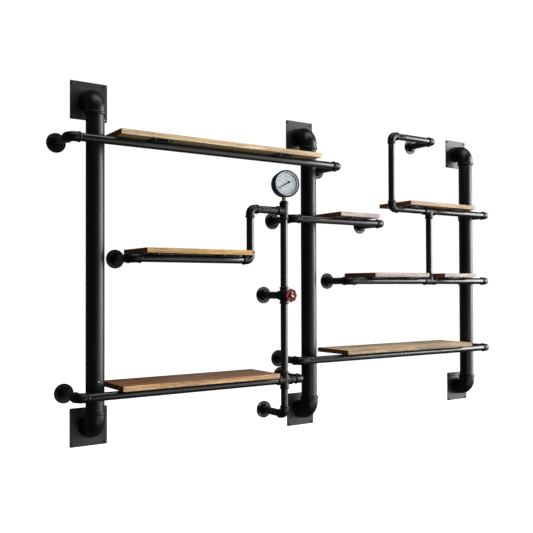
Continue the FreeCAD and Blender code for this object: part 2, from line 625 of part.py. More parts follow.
def gauge_case():
    """Open-fronted cup with a hole for the socket at the bottom of its rim."""
    depth = GAUGE_CASE_BACK + GAUGE_CASE_FRONT
    cup = cylinder(TO_ROOM, -GAUGE_CASE_BACK, depth, GAUGE_CASE_R)
    cup = cup.cut(cylinder(TO_ROOM, -GAUGE_CASE_BACK + GAUGE_WALL, depth, GAUGE_CASE_R - GAUGE_WALL))
    hole = cylinder(DOWN, GAUGE_CASE_R / 2, GAUGE_CASE_R, SOCKET_STEM_R + THREAD_GAP)
    return cup.cut(hole)


def gauge_bezel():
    """Ring that slips over the case and holds the glass behind its lip."""
    front = GAUGE_CASE_FRONT + GLASS_T + BEZEL_LIP
    ring = cylinder(TO_ROOM, front - BEZEL_DEPTH, BEZEL_DEPTH, BEZEL_R)
    front_edge = min(circular_edges(ring), key=lambda edge: edge.CenterOfMass.y)
    ring = ring.makeChamfer(BEZEL_LIP, [front_edge])
    seat = cylinder(TO_ROOM, front - BEZEL_DEPTH, BEZEL_DEPTH - BEZEL_LIP, GAUGE_CASE_R + BEZEL_FIT)
    return ring.cut(seat).cut(cylinder(TO_ROOM, front - BEZEL_LIP, BEZEL_LIP, BEZEL_SIGHT_R))


def gauge_glass():
    return cylinder(TO_ROOM, GAUGE_CASE_FRONT, GLASS_T, GAUGE_CASE_R)


def gauge_dial():
    """Dial with a deep rim that stands up to the glass."""
    outer_r = GAUGE_CASE_R - GAUGE_WALL - BEZEL_FIT
    depth = GAUGE_CASE_FRONT - DIAL_RIM_GAP - DIAL_BACK
    dial = cylinder(TO_ROOM, DIAL_BACK, depth, outer_r)
    dial = dial.cut(cylinder(TO_ROOM, DIAL_BACK + DIAL_T, depth, outer_r - DIAL_RIM_T))
    return dial.cut(cylinder(TO_ROOM, DIAL_BACK, DIAL_T, DIAL_HOLE_R))


def gauge_movement():
    """Two plates on a foot that stands on the socket block; the pointer shaft turns in both."""
    half = MOVEMENT_WIDTH / 2
    foot_z = neck_height() + SOCKET_BLOCK[2]
    height = MOVEMENT_TOP - foot_z
    front = Part.makeBox(MOVEMENT_WIDTH, MOVEMENT_PLATE_T, height, Vec(-half, MOVEMENT_FRONT_Y, foot_z))
    back = Part.makeBox(MOVEMENT_WIDTH, MOVEMENT_PLATE_T, height, Vec(-half, MOVEMENT_BACK_Y, foot_z))
    span = MOVEMENT_BACK_Y - MOVEMENT_FRONT_Y
    foot_corner = Vec(-SOCKET_BLOCK[0] / 2, MOVEMENT_FRONT_Y, foot_z)
    foot = Part.makeBox(SOCKET_BLOCK[0], span, MOVEMENT_PLATE_T, foot_corner)
    frame = front.fuse(back).fuse(foot)
    bore = cylinder(TO_WALL, MOVEMENT_FRONT_Y, span + MOVEMENT_PLATE_T, POINTER_SHAFT_R + POINTER_RUNNING_GAP)
    return frame.cut(bore)


def gauge_pointer():
    """Tapered pointer with a round tail, on a shaft that runs through the dial into the movement."""
    lower = [(-POINTER_TAIL, -POINTER_ROOT), (0, -POINTER_ROOT), (POINTER_LENGTH, -POINTER_TIP)]
    outline = lower + [(x, -z) for x, z in reversed(lower)] + lower[:1]
    blade = Part.Face(Part.makePolygon([Vec(x, -POINTER_BACK, z) for x, z in outline]))
    blade = blade.extrude(TO_ROOM * POINTER_T)
    blade = blade.fuse(cylinder(TO_ROOM, POINTER_BACK, POINTER_T, POINTER_HUB_R))
    tail = Part.makeCylinder(POINTER_TAIL_R, POINTER_T, Vec(-POINTER_TAIL, -POINTER_BACK, 0), TO_ROOM)
    shaft_back = MOVEMENT_BACK_Y + MOVEMENT_PLATE_T
    shaft = cylinder(TO_ROOM, -shaft_back, shaft_back + POINTER_BACK, POINTER_SHAFT_R)
    pointer = blade.fuse(tail).fuse(shaft)
    pointer.rotate(Vec(0, 0, 0), TO_ROOM, POINTER_ANGLE)
    return pointer


def gauge():
    shapes = {
        "gauge_bushing": reducing_bushing(),
        "gauge_socket": gauge_socket(),
        "gauge_case": gauge_case(),
        "gauge_bezel": gauge_bezel(),
        "gauge_glass": gauge_glass(),
        "gauge_dial": gauge_dial(),
        "gauge_movement": gauge_movement(),
        "gauge_pointer": gauge_pointer(),
    }
    centre = rail_point(CENTRE_RISER_X, GAUGE_Z)
    turn = FreeCAD.Rotation(UP, GAUGE_TURN)
    return {name: [placed(shape, centre, turn)] for name, shape in shapes.items()}


# ---------------------------------------------------------------- whole unit

def main():
    os.makedirs("parts", exist_ok=True)
    nodes = {}
    for section in (uprights, small_pipework, shelves, valve, gauge):
        nodes.update(section())
    for name, solids in nodes.items():
        shape = solids[0] if len(solids) == 1 else Part.makeCompound(solids)
        shape.exportStep("parts/" + name + ".step")


main()
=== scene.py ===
"""Wall-mounted pipe shelving unit: boards on threaded pipework, with a valve and a pressure gauge.

X runs along the wall to the right, the room is on the -Y side, Z is up and the wall face is y = 0. Metres.
"""

import json
import math

import bmesh
import bpy
import numpy as np
from mathutils import Matrix, Vector


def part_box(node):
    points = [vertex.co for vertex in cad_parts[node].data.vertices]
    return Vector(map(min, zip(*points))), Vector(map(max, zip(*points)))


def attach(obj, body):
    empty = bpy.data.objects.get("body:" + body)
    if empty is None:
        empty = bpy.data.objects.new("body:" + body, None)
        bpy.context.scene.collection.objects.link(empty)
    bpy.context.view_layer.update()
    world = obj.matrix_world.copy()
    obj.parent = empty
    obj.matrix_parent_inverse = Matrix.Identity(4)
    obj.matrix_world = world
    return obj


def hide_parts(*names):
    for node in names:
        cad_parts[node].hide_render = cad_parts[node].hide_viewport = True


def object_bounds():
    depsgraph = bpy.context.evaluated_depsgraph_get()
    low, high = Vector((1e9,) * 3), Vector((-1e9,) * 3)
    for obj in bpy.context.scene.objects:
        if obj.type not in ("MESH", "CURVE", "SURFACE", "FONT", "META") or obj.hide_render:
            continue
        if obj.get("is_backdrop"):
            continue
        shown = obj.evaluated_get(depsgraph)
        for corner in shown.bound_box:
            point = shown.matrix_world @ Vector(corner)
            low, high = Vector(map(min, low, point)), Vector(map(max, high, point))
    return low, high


bl_info = {
    "name": "Pipe shelving unit",
    "version": (1, 0, 0),
    "blender": (4, 5, 0),
    "location": "View3D > Sidebar > Shelf",
    "description": "Builds the pipework, boards, valve and gauge of a wall-mounted shelving unit",
    "category": "Add Mesh",
}

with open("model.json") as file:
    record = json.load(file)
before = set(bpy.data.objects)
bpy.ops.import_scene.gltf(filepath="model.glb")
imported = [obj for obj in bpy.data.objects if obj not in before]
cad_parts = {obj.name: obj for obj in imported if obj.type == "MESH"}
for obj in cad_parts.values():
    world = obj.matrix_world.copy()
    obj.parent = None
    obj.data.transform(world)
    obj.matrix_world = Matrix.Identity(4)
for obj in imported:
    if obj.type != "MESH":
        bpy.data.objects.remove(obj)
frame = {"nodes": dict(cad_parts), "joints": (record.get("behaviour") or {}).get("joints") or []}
CAD_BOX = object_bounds()

# ---------------------------------------------------------------- sizes

MM = 0.001
TURN = 2 * math.pi
QUARTER = math.pi / 2
RIGHT = np.array([1.0, 0.0, 0.0])
TO_WALL = np.array([0.0, 1.0, 0.0])
UP = np.array([0.0, 0.0, 1.0])
LEFT, TO_ROOM, DOWN = -RIGHT, -TO_WALL, -UP


class PipeSize:
    """One nominal pipe size and its beaded fitting, given in millimetres and held in metres: the radii of the
    pipe, its bore, a fitting's body and its bead, the bead's width, the radius of an elbow's centre line, the
    depth of a socket and the thread's pitch. Sides is the number of points round a ring."""

    def __init__(self, sides, **sizes):
        self.sides = sides
        for name, size in sizes.items():
            setattr(self, name, size * MM)
        self.reach = self.bend + self.socket


SMALL = PipeSize(44, pipe=13.45, bore=10.85, body=15.75, bead=17.55, bead_width=6.0, bend=18.0, socket=13.0,
                 pitch=1.81)
LARGE = PipeSize(84, pipe=30.15, bore=26.55, body=33.35, bead=35.55, bead_width=10.0, bend=38.0, socket=19.0,
                 pitch=2.31)
SOCKET_SPARE = 1.0 * MM                       # left in a socket beyond the pipe's end
SOCKET_GAP = 0.1 * MM                         # round a pipe in its socket
FLANGE_GRIP = 18.0 * MM                       # length of a nipple inside its wall flange
THREAD_DEPTH = 0.55 * MM
CROTCH = 3.2 * MM                             # fillet where a branch leaves a run
BALL_R = 20.75 * MM                           # the valve body's round middle
BALL_FILLET = 2.4 * MM
# millimetres of rounding on the edges of the pieces that keep their CAD shape
ROUNDING = {"upright_left": 0.2, "plate_nipples": 0.5, "bonnet": 0.5, "packing_nut_finished": 0.5,
            "wheel": 1.1, "wheel_nut": 0.4, "stem": 0.2, "plug": 0.3, "case": 0.6, "bezel": 0.7,
            "bushing": 0.6, "brass_socket": 0.4, "movement": 0.2, "pointer": 0.12, "glass": 0.3}
WELD = 2e-6                                   # corners nearer than this are one
STEP = 1e-5                                   # width of the step where a socket meets its bore
BEAD_POINTS, BEAD_FULLNESS = 15, 0.4
BEND_POINTS, BALL_POINTS, ROOT_POINTS = 15, 27, 16
POINTS_A_TURN, PLAIN_POINTS = 14, 3           # along a pipe, on its threads and between them
THREAD_INSIDE = 1.5                           # turns of thread that run on inside a fitting
ARRIS_POINTS, PLANK_POINTS = 6, 60
SHARP_ANGLE, EDGE_ANGLE, INK_ANGLE = 38.0, 32.0, 20.0    # degrees past which an edge is shaded sharp
FLAT_ANGLE = math.radians(0.5)

RAIL_NODES = ("top_left_pipe", "middle_left_pipe", "middle_left_riser", "branch_pipe", "bottom_left_pipe",
              "bottom_left_stub", "centre_riser_pipes", "top_centre_pipe", "bottom_right_pipe",
              "middle_right_pipes", "top_right_pipes", "loop_riser", "loop_top_pipe", "link_post")
# small elbows: where each one's other mouth points, on the first and on the last end of a rail's pipes
CORNERS = {
    "left": {"top_left_pipe": (TO_WALL, TO_WALL), "middle_left_pipe": (TO_WALL, UP),
             "branch_pipe": (DOWN, None), "bottom_left_pipe": (TO_WALL, None),
             "bottom_left_stub": (None, TO_WALL), "centre_riser_pipes": (TO_WALL, None)},
    "right": {"top_centre_pipe": (TO_WALL, TO_WALL), "bottom_right_pipe": (TO_WALL, TO_WALL),
              "middle_right_pipes": (TO_WALL, TO_WALL), "top_right_pipes": (UP, TO_WALL),
              "loop_top_pipe": (DOWN, TO_WALL)},
}
# tees and the cross: the pipe and the end that stands in them, which way they run, and their arms
JUNCTIONS = {
    "tees": (("branch_pipe", 1, UP, (LEFT,)), ("link_post", 1, RIGHT, (DOWN,)),
             ("link_post", 0, RIGHT, (UP,))),
    "cross": (("bottom_left_pipe", 1, UP, (LEFT, RIGHT)),),
}

# screws: radius and height of the head
SADDLE_SCREW = (3.4 * MM, 1.6 * MM)
UPRIGHT_SCREW = (2.8 * MM, 1.6 * MM)
PLATE_SCREW = (5.6 * MM, 2.6 * MM)
FLANGE_SCREW = (3.9 * MM, 1.9 * MM)
SADDLE_HOLES = (24.0 * MM, 27.0 * MM)         # from a saddle's middle, along and across the board
SADDLE_SCREW_SINK = 2.0 * MM
UPRIGHT_SCREW_HEIGHT = 154.0 * MM
PLATE_HOLE_INSET = 8.5 * MM
FLANGE_HOLE_CIRCLE = 47.0 * MM
FLANGE_PLATE_T = 5.0 * MM
RISER_FOOT = np.array([694.0, 0.0, -10.5]) * MM
NEAR = 5.0 * MM                               # a flange this close to the riser's foot is the riser's
HEAD_SIDES, HEAD_RINGS = 32, 11

# tones of the boards: early wood, late wood, strength of the figure, and the top's colour if it has its own,
# which is painted light: partly painted shade on the russet top, a painted reflection on the brown top
WOODS = {
    "honey": ((0.99, 0.832, 0.502), (0.821, 0.536, 0.285), 1.2, None),
    "amber": ((0.95, 0.594, 0.205), (0.648, 0.367, 0.119), 1.4, None),
    "cream": ((0.718, 0.499, 0.312), (0.478, 0.291, 0.161), 1.1, None),
    "blush": ((0.663, 0.535, 0.482), (0.407, 0.3, 0.251), 1.0, None),
    # the brown top is paler than its own wood: a painted reflection
    "brown": ((0.604, 0.419, 0.239), (0.276, 0.164, 0.0795), 1.5, (0.98, 0.70, 0.38)),
    # the russet top is darker: partly its own streaks, partly painted shade
    "russet": ((0.99, 0.728, 0.403), (0.65, 0.305, 0.13), 1.6, (0.41, 0.16, 0.06)),
}
BOARDS = {"board_bottom_left": "russet", "board_bottom_right": "brown", "board_middle_left": "amber",
          "board_middle_right_long": "blush", "board_middle_right_short": "blush",
          "board_top_centre": "blush", "board_top_left": "honey", "board_top_right": "cream"}
BOARD_PHASE = 1.7                             # sets each board's unevenness off from the last one's

DIAL_SIDES = 96
# painted glow: light painted into the dial's white
DIAL_PAINTED_GLOW = 0.18                              # makes up for the light that the glass takes
DIAL_MIDDLE = 10.0 * MM                       # the corners this near the shaft give the face's level
DIAL_HOLE_R = 2.6 * MM
RIM_WIDTH = 4.1 * MM                          # white rim round the dial, flush with the glass
RIM_SLOPE = 0.5 * MM
# width of the dark ring of painted shade on the dial's step
STEP_SHADE_WIDTH = 0.9 * MM
SCALE_START = math.radians(225)
SCALE_SWEEP = math.radians(-270)
SCALE_NUMBERS = 4
SCALE_STEP = 0.4                              # from one number to the next
# length and width of the main, the middle and the small ticks
TICKS = ((6.0 * MM, 0.9 * MM), (4.4 * MM, 0.5 * MM), (2.6 * MM, 0.3 * MM))
NUMBERS_IN = 12.0 * MM                        # from the scale's outside to the middle of its numbers
CLASS_NUMBER = "2.5"
CLASS_NUMBER_UP = 15.0 * MM
FONT_SCALE = 1.4                              # size of the built-in font for numbers of a height of 1
INK_HEIGHT = 0.08 * MM
POINTER_BODY = 20.0 * MM                      # further out than this the pointer is only its blade
POINTER_TAIL = 13.5 * MM
POINTER_WIDTHS = (4.0 * MM, 2.4 * MM)         # at the tail and at the tip
TAIL_R = 4.7 * MM                             # round disc at the tail
TAIL_SIDES = 40

CAMERA_PLACE = (-0.8748, -2.3551, 0.4579)
CAMERA_YAW, CAMERA_PITCH, CAMERA_ROLL = math.radians(34.249), math.radians(0.906), math.radians(-0.187)
IMAGE_SIDE = 533.0
FOCAL_PIXELS = 737.85
AXIS_PIXEL = (270.54, 274.91)                 # where the lens axis meets the image
SENSOR = 36.0                                 # millimetres
WHITE = (1.0, 1.0, 1.0)
# softboxes: what it is, place, target, width and height, power in watts, colour
SOFTBOXES = {
    "key": ("large softbox on the right", (6.5, -2.7, 1.3), (0.9, -0.1, 0.5), (4.8, 4.1), 640.0,
            (0.96, 0.985, 1.0)),
    "overhead": ("strip light overhead", (0.9, -0.9, 3.0), (0.9, -0.1, 0.5), (3.6, 0.8), 34.0, WHITE),
    "fill": ("dim panel beside the key", (3.0, -4.5, 1.2), (0.9, -0.1, 0.6), (2.6, 3.2), 17.0, WHITE),
    "low_panel": ("panel by the floor", (1.5, -2.1, -0.5), (1.0, -0.5, 1.2), (3.2, 2.0), 17.5, WHITE),
    "bounce": ("panel on the wall's side", (2.15, 1.3, 0.7), (2.15, 0.0, 0.5), (2.4, 2.4), 2.8, WHITE),
}
FLOOR_RADIUS = 14.0
FLOOR_SIDES = 96
FLOOR_GLOW = 1.0
BACKGROUND = 1.05                             # brightness of the white past the unit


# ---------------------------------------------------------------- properties

def length_field(name, description, metres):
    """Property for a length."""
    return bpy.props.FloatProperty(name=name, description=description, default=metres, unit="LENGTH")


def power_field(name, description, watts):
    """Property for a light's power."""
    return bpy.props.FloatProperty(name=name, description=description, default=watts, min=0.0, unit="POWER")


def colour_field(name, description, value):
    """Property for a colour, or for a share of one."""
    return bpy.props.FloatVectorProperty(name=name, description=description, default=value, subtype="COLOR",
                                         size=3, min=0.0, max=1.0)


class ShelfPipework(bpy.types.PropertyGroup):
    """Sizes of the pipework's finish."""

    thread_shown: length_field("Thread shown", "Length of thread beyond a fitting's mouth", 3.4 * MM)
    edge_round: length_field("Edge rounding", "Rounding on the edges of flanges and plates", 0.7 * MM)
    paint: colour_field("Paint", "Colour of the black paint", (0.0024, 0.0025, 0.0027))


class ShelfBoards(bpy.types.PropertyGroup):
    """Sizes and colours of the boards."""

    arris: length_field("Arris", "Rounding on a board's edges", 1.3 * MM)
    waviness: length_field("Waviness", "How far sanding has left a board's faces uneven", 0.12 * MM)
    # share of its colour that a top keeps: partly oil stain, partly painted shade
    top_stain_and_shade: colour_field("Top stain", "Share of its colour that an oiled top keeps", (0.84, 0.68, 0.55))
    # the ends' dark colour is partly stain, partly painted shade
    end_stain_and_shade: colour_field("End stain", "Colour of the stained end grain", (0.19, 0.057, 0.018))


# both colours of each tone of wood
for tone, (early, late, _, _) in WOODS.items():
    for part, value in (("early", early), ("late", late)):
        ShelfBoards.__annotations__[f"{tone}_{part}"] = colour_field(
            f"{tone.title()} {part} wood", f"Colour of the {part} wood in the {tone} boards", value)


class ShelfGauge(bpy.types.PropertyGroup):
    """Sizes of the gauge's dial."""

    scale_radius: length_field("Scale radius", "Outside of the dial's scale", 39.0 * MM)
    number_height: length_field("Number height", "Height of the dial's numbers", 5.4 * MM)
    divisions: bpy.props.IntProperty(
        name="Divisions", description="Small divisions on the scale", default=32, min=8, max=80)


class ShelfStage(bpy.types.PropertyGroup):
    """Light and floor."""

    floor_drop: length_field("Floor drop", "Floor below the lowest point of the unit", 0.55)
    room_light: bpy.props.FloatProperty(
        name="Room light", description="Brightness of the dim studio around the unit", default=0.066, min=0.0)


# each softbox's power
for name, (description, _, _, _, watts, _) in SOFTBOXES.items():
    ShelfStage.__annotations__[name + "_power"] = power_field(
        name.replace("_", " ").title() + " power", f"Power of the {description}", watts)


# ---------------------------------------------------------------- surfaces

def surface(grid, caps=False):
    """Points, quads and triangles of a closed surface on a grid of points, rows by columns.

    Columns always close on themselves. Rows close on themselves too, or, with caps, the first and the last
    row are each drawn to their middle point. The signed volume, a sixth of the sum of each triangle's triple
    product, shows whether the faces have to be turned round."""
    rows, columns = grid.shape[:2]
    index = np.arange(rows * columns).reshape(rows, columns)
    beside = np.roll(index, -1, axis=1)
    quads = np.stack([index, beside, np.roll(beside, -1, axis=0), np.roll(index, -1, axis=0)], axis=-1)
    quads = (quads[:-1] if caps else quads).reshape(-1, 4)
    points, triangles = grid.reshape(-1, 3), np.zeros((0, 3), int)
    if caps:
        points = np.concatenate([points, [grid[0].mean(0), grid[-1].mean(0)]])
        bottom = np.stack([beside[0], index[0], np.full(columns, index.size)], axis=-1)
        top = np.stack([index[-1], beside[-1], np.full(columns, index.size + 1)], axis=-1)
        triangles = np.concatenate([bottom, top])
    halves = np.concatenate([quads[:, [0, 1, 2]], quads[:, [0, 2, 3]], triangles])
    corners = points[halves] - points.mean(0)
    if np.einsum("ij,ij->i", corners[:, 0], np.cross(corners[:, 1], corners[:, 2])).sum() < 0:
        quads, triangles = quads[:, ::-1], triangles[:, ::-1]
    return points, quads, triangles


def made(name, material, slot, surfaces, *nodes, body="frame", sharp=SHARP_ANGLE):
    """Closed surfaces as one piece that rides on a body and stands for the named nodes."""
    points, quads, triangles = zip(*surfaces)
    firsts = np.cumsum([0, *map(len, points)])
    quads = np.concatenate([part + first for part, first in zip(quads, firsts)])
    triangles = np.concatenate([part + first for part, first in zip(triangles, firsts)])
    mesh = bpy.data.meshes.new(name)
    mesh.vertices.add(firsts[-1])
    mesh.vertices.foreach_set("co", np.concatenate(points).astype(np.float32).ravel())
    corners = np.concatenate([quads.ravel(), triangles.ravel()])
    mesh.loops.add(len(corners))
    mesh.loops.foreach_set("vertex_index", corners.astype(np.int32))
    starts = np.concatenate([np.arange(len(quads)) * 4, quads.size + np.arange(len(triangles)) * 3])
    mesh.polygons.add(len(starts))
    mesh.polygons.foreach_set("loop_start", starts.astype(np.int32))
    mesh.update(calc_edges=True)
    mesh.validate()
    dressed(linked(name, mesh), material, slot, *nodes, body=body, sharp=sharp)


def linked(name, data):
    """A new object in the scene."""
    thing = bpy.data.objects.new(name, data)
    bpy.context.scene.collection.objects.link(thing)
    return thing


def dressed(piece, material, slot, *nodes, body="frame", sharp=SHARP_ANGLE):
    """Gives a piece its material, its shading and its place in the frame."""
    mesh = piece.data
    mesh.materials.clear()
    mesh.materials.append(material)
    mesh.shade_smooth()
    mesh.set_sharp_from_angle(angle=math.radians(sharp))
    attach(piece, body)
    if nodes:
        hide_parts(*nodes)
    return piece


def round_the(sides):
    """Angles of evenly spaced points round a ring."""
    return np.arange(sides) * TURN / sides


def across(direction):
    """Two unit vectors square to a direction and to each other."""
    steep = abs(direction[2]) >= 0.9
    side = np.cross(direction, RIGHT if steep else UP)
    side = side / np.linalg.norm(side)
    return side, np.cross(direction, side)


def straight(start, direction):
    """Path along a line: the point at p is start + p * direction."""
    side, other = across(direction)

    def path(p):
        ones = np.ones((len(p), 1))
        return start + p[:, None] * direction, side * ones, other * ones

    return path


def bent(centre, first, second, bend):
    """Path of an elbow: in along -first, round a quarter circle of radius bend, out along second.

    With o = centre + bend * (first + second) and the turn f = p / bend held between 0 and a quarter turn,
    the arc is o - bend * (second * cos f + first * sin f). Before and after it the path runs straight."""
    hub = centre + bend * (first + second)
    arc = bend * QUARTER

    def path(p):
        turn = np.clip(p / bend, 0, QUARTER)[:, None]
        outward = -(second * np.cos(turn) + first * np.sin(turn))
        before, after = np.minimum(p, 0)[:, None], np.maximum(p - arc, 0)[:, None]
        centre_line = hub + bend * outward - first * before + second * after
        return centre_line, outward, np.cross(first, second) + 0 * outward

    return path


def carried(path, places, radii, sides):
    """Circles carried along a path: point = path(p) + r * (cos t * side + sin t * other).

    radii has one value for each place, or one for each place and each t."""
    middle, side, other = path(np.asarray(places, float))
    t = round_the(sides)
    radii = np.asarray(radii, float)
    if radii.ndim == 1:
        radii = radii[:, None] + np.zeros(sides)
    ring = np.cos(t)[None, :, None] * side[:, None, :] + np.sin(t)[None, :, None] * other[:, None, :]
    return middle[:, None, :] + radii[:, :, None] * ring


def bead(size):
    """Depth and radius over a fitting's rounded bead, from its mouth inwards.

    Over the bead's width w the radius is body + rise * (1 - (2 d / w - 1)^2)^fullness."""
    share = (1 - np.cos(np.linspace(0, math.pi, BEAD_POINTS))) / 2
    depth = share * size.bead_width
    bulge = np.clip(1 - (2 * share - 1) ** 2, 0, 1) ** BEAD_FULLNESS
    return depth, size.body + (size.bead - size.body) * bulge


def swollen(size, away, swell):
    """Radius of an arm at a distance from the fitting's centre.

    It is the smooth maximum of the body's radius b and of the ball's g = sqrt(swell^2 - away^2), which is
    (b + g + sqrt((b - g)^2 + fillet^2)) / 2, drawn back to b by the sixth power of away / bend."""
    if not swell:
        return size.body + 0 * away
    ball = np.sqrt(np.maximum(swell ** 2 - away ** 2, 0))
    smooth = (size.body + ball + np.sqrt((size.body - ball) ** 2 + BALL_FILLET ** 2)) / 2
    smooth = np.minimum(smooth, swell)
    return smooth + (size.body - smooth) * np.clip(away / size.bend, 0, 1) ** 6


def run_wall(size, middle, swell=0.0):
    """Closed section of a fitting between two mouths, with a stretch of length middle between its sockets.

    Places run from -socket at one mouth to middle + socket at the other, outside first and back along the
    bore."""
    depth, radius = bead(size)
    inner = size.pipe + SOCKET_GAP
    along = np.linspace(0, middle, BALL_POINTS if swell else BEND_POINTS)
    outside = np.concatenate([depth - size.socket, along, (middle + size.socket - depth)[::-1]])
    outside_r = np.concatenate([radius, swollen(size, abs(along - middle / 2), swell), radius[::-1]])
    inside = np.concatenate([[middle + size.socket, middle + STEP], along[::-1], [-STEP, -size.socket]])
    inside_r = np.concatenate([[inner, inner], np.full(len(along), size.bore), [inner, inner]])
    return np.concatenate([outside, inside]), np.concatenate([outside_r, inside_r])


def fitting_centre(size, end, outward):
    """Centre of the fitting that a pipe's end stands in."""
    return end + outward * (size.bend + SOCKET_SPARE)


def elbow(size, end, outward, turn):
    """Elbow that a pipe's end stands in, with its other mouth along turn: a run's section carried round the
    bend."""
    path = bent(fitting_centre(size, end, outward), -outward, turn, size.bend)
    return surface(carried(path, *run_wall(size, size.bend * QUARTER), size.sides))


def run(size, centre, direction, swell=0.0):
    """Straight part of a tee, cross or valve: a run's section carried along a line, from mouth to mouth."""
    path = straight(centre - direction * size.bend, direction)
    return surface(carried(path, *run_wall(size, 2 * size.bend, swell), size.sides))


def branch(size, centre, main, direction, swell=0.0):
    """Side arm of a tee, cross or valve, closed at its root inside the run and at the bottom of its socket.

    A place h from the run's axis stands d = h - sqrt(body^2 - (body * s)^2) above the run, where s is the
    sine of the angle away from the run's own direction. The arm is wider there by
    crotch * c^2 * exp(-(d / crotch)^2), with c the cosine of that angle, which makes the fillet."""
    depth, radius = bead(size)
    root = np.concatenate([[0.0], np.linspace(size.body * 0.2, size.bend, ROOT_POINTS)])
    rise = np.concatenate([root, (size.reach - depth)[::-1]])
    outer = np.concatenate([swollen(size, root, swell), radius[::-1]])
    side, _ = across(direction)
    lead = math.atan2(float(np.dot(np.cross(side, main), direction)), float(np.dot(side, main)))
    t = round_the(size.sides) - lead
    c, s = np.cos(t), np.sin(t)
    above = np.maximum(rise[:, None] - size.body * np.sqrt(1 - s[None, :] ** 2), 0)
    flare = CROTCH * c[None, :] ** 2 * np.exp(-((above / CROTCH) ** 2))
    inner = size.pipe + SOCKET_GAP
    places = np.concatenate([rise, [size.reach, size.bend]])
    radii = np.concatenate([outer[:, None] + flare, np.full((2, size.sides), inner)])
    return surface(carried(straight(centre, direction), places, radii, size.sides), caps=True)


def threads(size, length, hidden):
    """Places along a pipe's outside, and how deep its thread is at each of them, from 0 to 1.

    The mask is 1 on the stretch past a fitting's mouth and fades out over its last third."""
    shown = bpy.context.scene.shelf_pipework.thread_shown * size.pitch / SMALL.pitch
    steps = int(shown / size.pitch * POINTS_A_TURN) + POINTS_A_TURN
    low, high = hidden[0], length - hidden[1]
    places = np.concatenate([
        [0.0], np.linspace(low - size.pitch, low + shown, steps),
        np.linspace(low + shown, high - shown, PLAIN_POINTS + 2)[1:-1],
        np.linspace(high - shown, high + size.pitch, steps), [length]])
    from_mouth = np.minimum(places - low, high - places)
    mask = np.clip((shown - from_mouth) / (shown / 3), 0, 1)
    return places, mask * (from_mouth > -THREAD_INSIDE * size.pitch)


def pipe(size, start, end, hidden):
    """Threaded pipe: outside and back along the bore. hidden is the length inside the fitting at each end.

    The outside radius is pipe - depth * mask * (1 - cos(2 pi p / pitch - t)) / 2, a helix of that pitch."""
    axis = end - start
    length = float(np.linalg.norm(axis))
    places, mask = threads(size, length, hidden)
    groove = (1 - np.cos(TURN * places[:, None] / size.pitch - round_the(size.sides)[None, :])) / 2
    deep = THREAD_DEPTH * size.pitch / SMALL.pitch
    radii = np.concatenate([size.pipe - deep * mask[:, None] * groove, np.full((2, size.sides), size.bore)])
    whole = np.concatenate([places, [length, 0.0]])
    return surface(carried(straight(start, axis / length), whole, radii, size.sides))


def turned(path, outline, sides, caps=False):
    """Surface of revolution about a path: outline is places and radii."""
    return surface(carried(path, *np.array(outline, float).T, sides), caps)


def plank(low, high, arris, waviness, phase):
    """Board with rounded edges whose faces are slightly uneven.

    Its section is the rounded rectangle |y|, |z| <= half - r, grown by r along the angle. At each end the
    section shrinks by r (1 - sin a) while the place goes back by r (1 - cos a). The unevenness moves each
    point inwards along its own normal by waviness * (1 + w) / 2, where w is
    (sin(9 x + phase) + sin(23 x + 40 y + phase) + sin(61 x + 31 z)) / 3."""
    half = (high - low) / 2
    middle = (high + low) / 2
    ease = np.linspace(0, QUARTER, ARRIS_POINTS)
    turn = np.concatenate([ease + k * QUARTER for k in range(4)])
    ring = np.stack([np.cos(turn), np.sin(turn)], axis=-1)
    signs = np.repeat(np.array([[1, 1], [-1, 1], [-1, -1], [1, -1]]), ARRIS_POINTS, axis=0)
    core = signs * (half[1:] - arris)
    shrink = np.concatenate([1 - np.sin(ease), np.zeros(PLANK_POINTS), (1 - np.sin(ease))[::-1]])
    span = np.linspace(-half[0] + arris, half[0] - arris, PLANK_POINTS + 2)[1:-1]
    back = arris * (1 - np.cos(ease))
    place = np.concatenate([-half[0] + back, span, half[0] - back[::-1]])
    x = place[:, None] + 0 * turn[None, :]
    flat = core[None] + arris * (1 - shrink)[:, None, None] * ring[None]
    wave = (np.sin(9 * x + phase) + np.sin(23 * x + 40 * flat[..., 0] + phase)
            + np.sin(61 * x + 31 * flat[..., 1])) / 3
    flat = flat - waviness * (1 + wave[..., None]) / 2 * ring[None]
    return surface(np.concatenate([x[..., None], flat], axis=-1) + middle, caps=True)


def softened(name, node, finish, slot, body="frame", segments=3, width=None):
    """A merged copy of a CAD node whose sharp edges are rounded by width, or by the piece's own rounding."""
    mesh = frame["nodes"][node].data.copy()
    mesh.name = name
    work = bmesh.new()
    work.from_mesh(mesh)
    bmesh.ops.remove_doubles(work, verts=work.verts, dist=WELD)
    bmesh.ops.dissolve_limit(work, angle_limit=FLAT_ANGLE, verts=work.verts, edges=work.edges)
    work.to_mesh(mesh)
    work.free()
    piece = dressed(linked(name, mesh), finish, slot, node, body=body, sharp=EDGE_ANGLE)
    edges = piece.modifiers.new("rounded edges", "BEVEL")
    edges.width = width or ROUNDING[name] * MM
    edges.segments = segments
    edges.limit_method = "ANGLE"
    edges.angle_limit = math.radians(EDGE_ANGLE)
    edges.harden_normals = True


# ---------------------------------------------------------------- shader maths

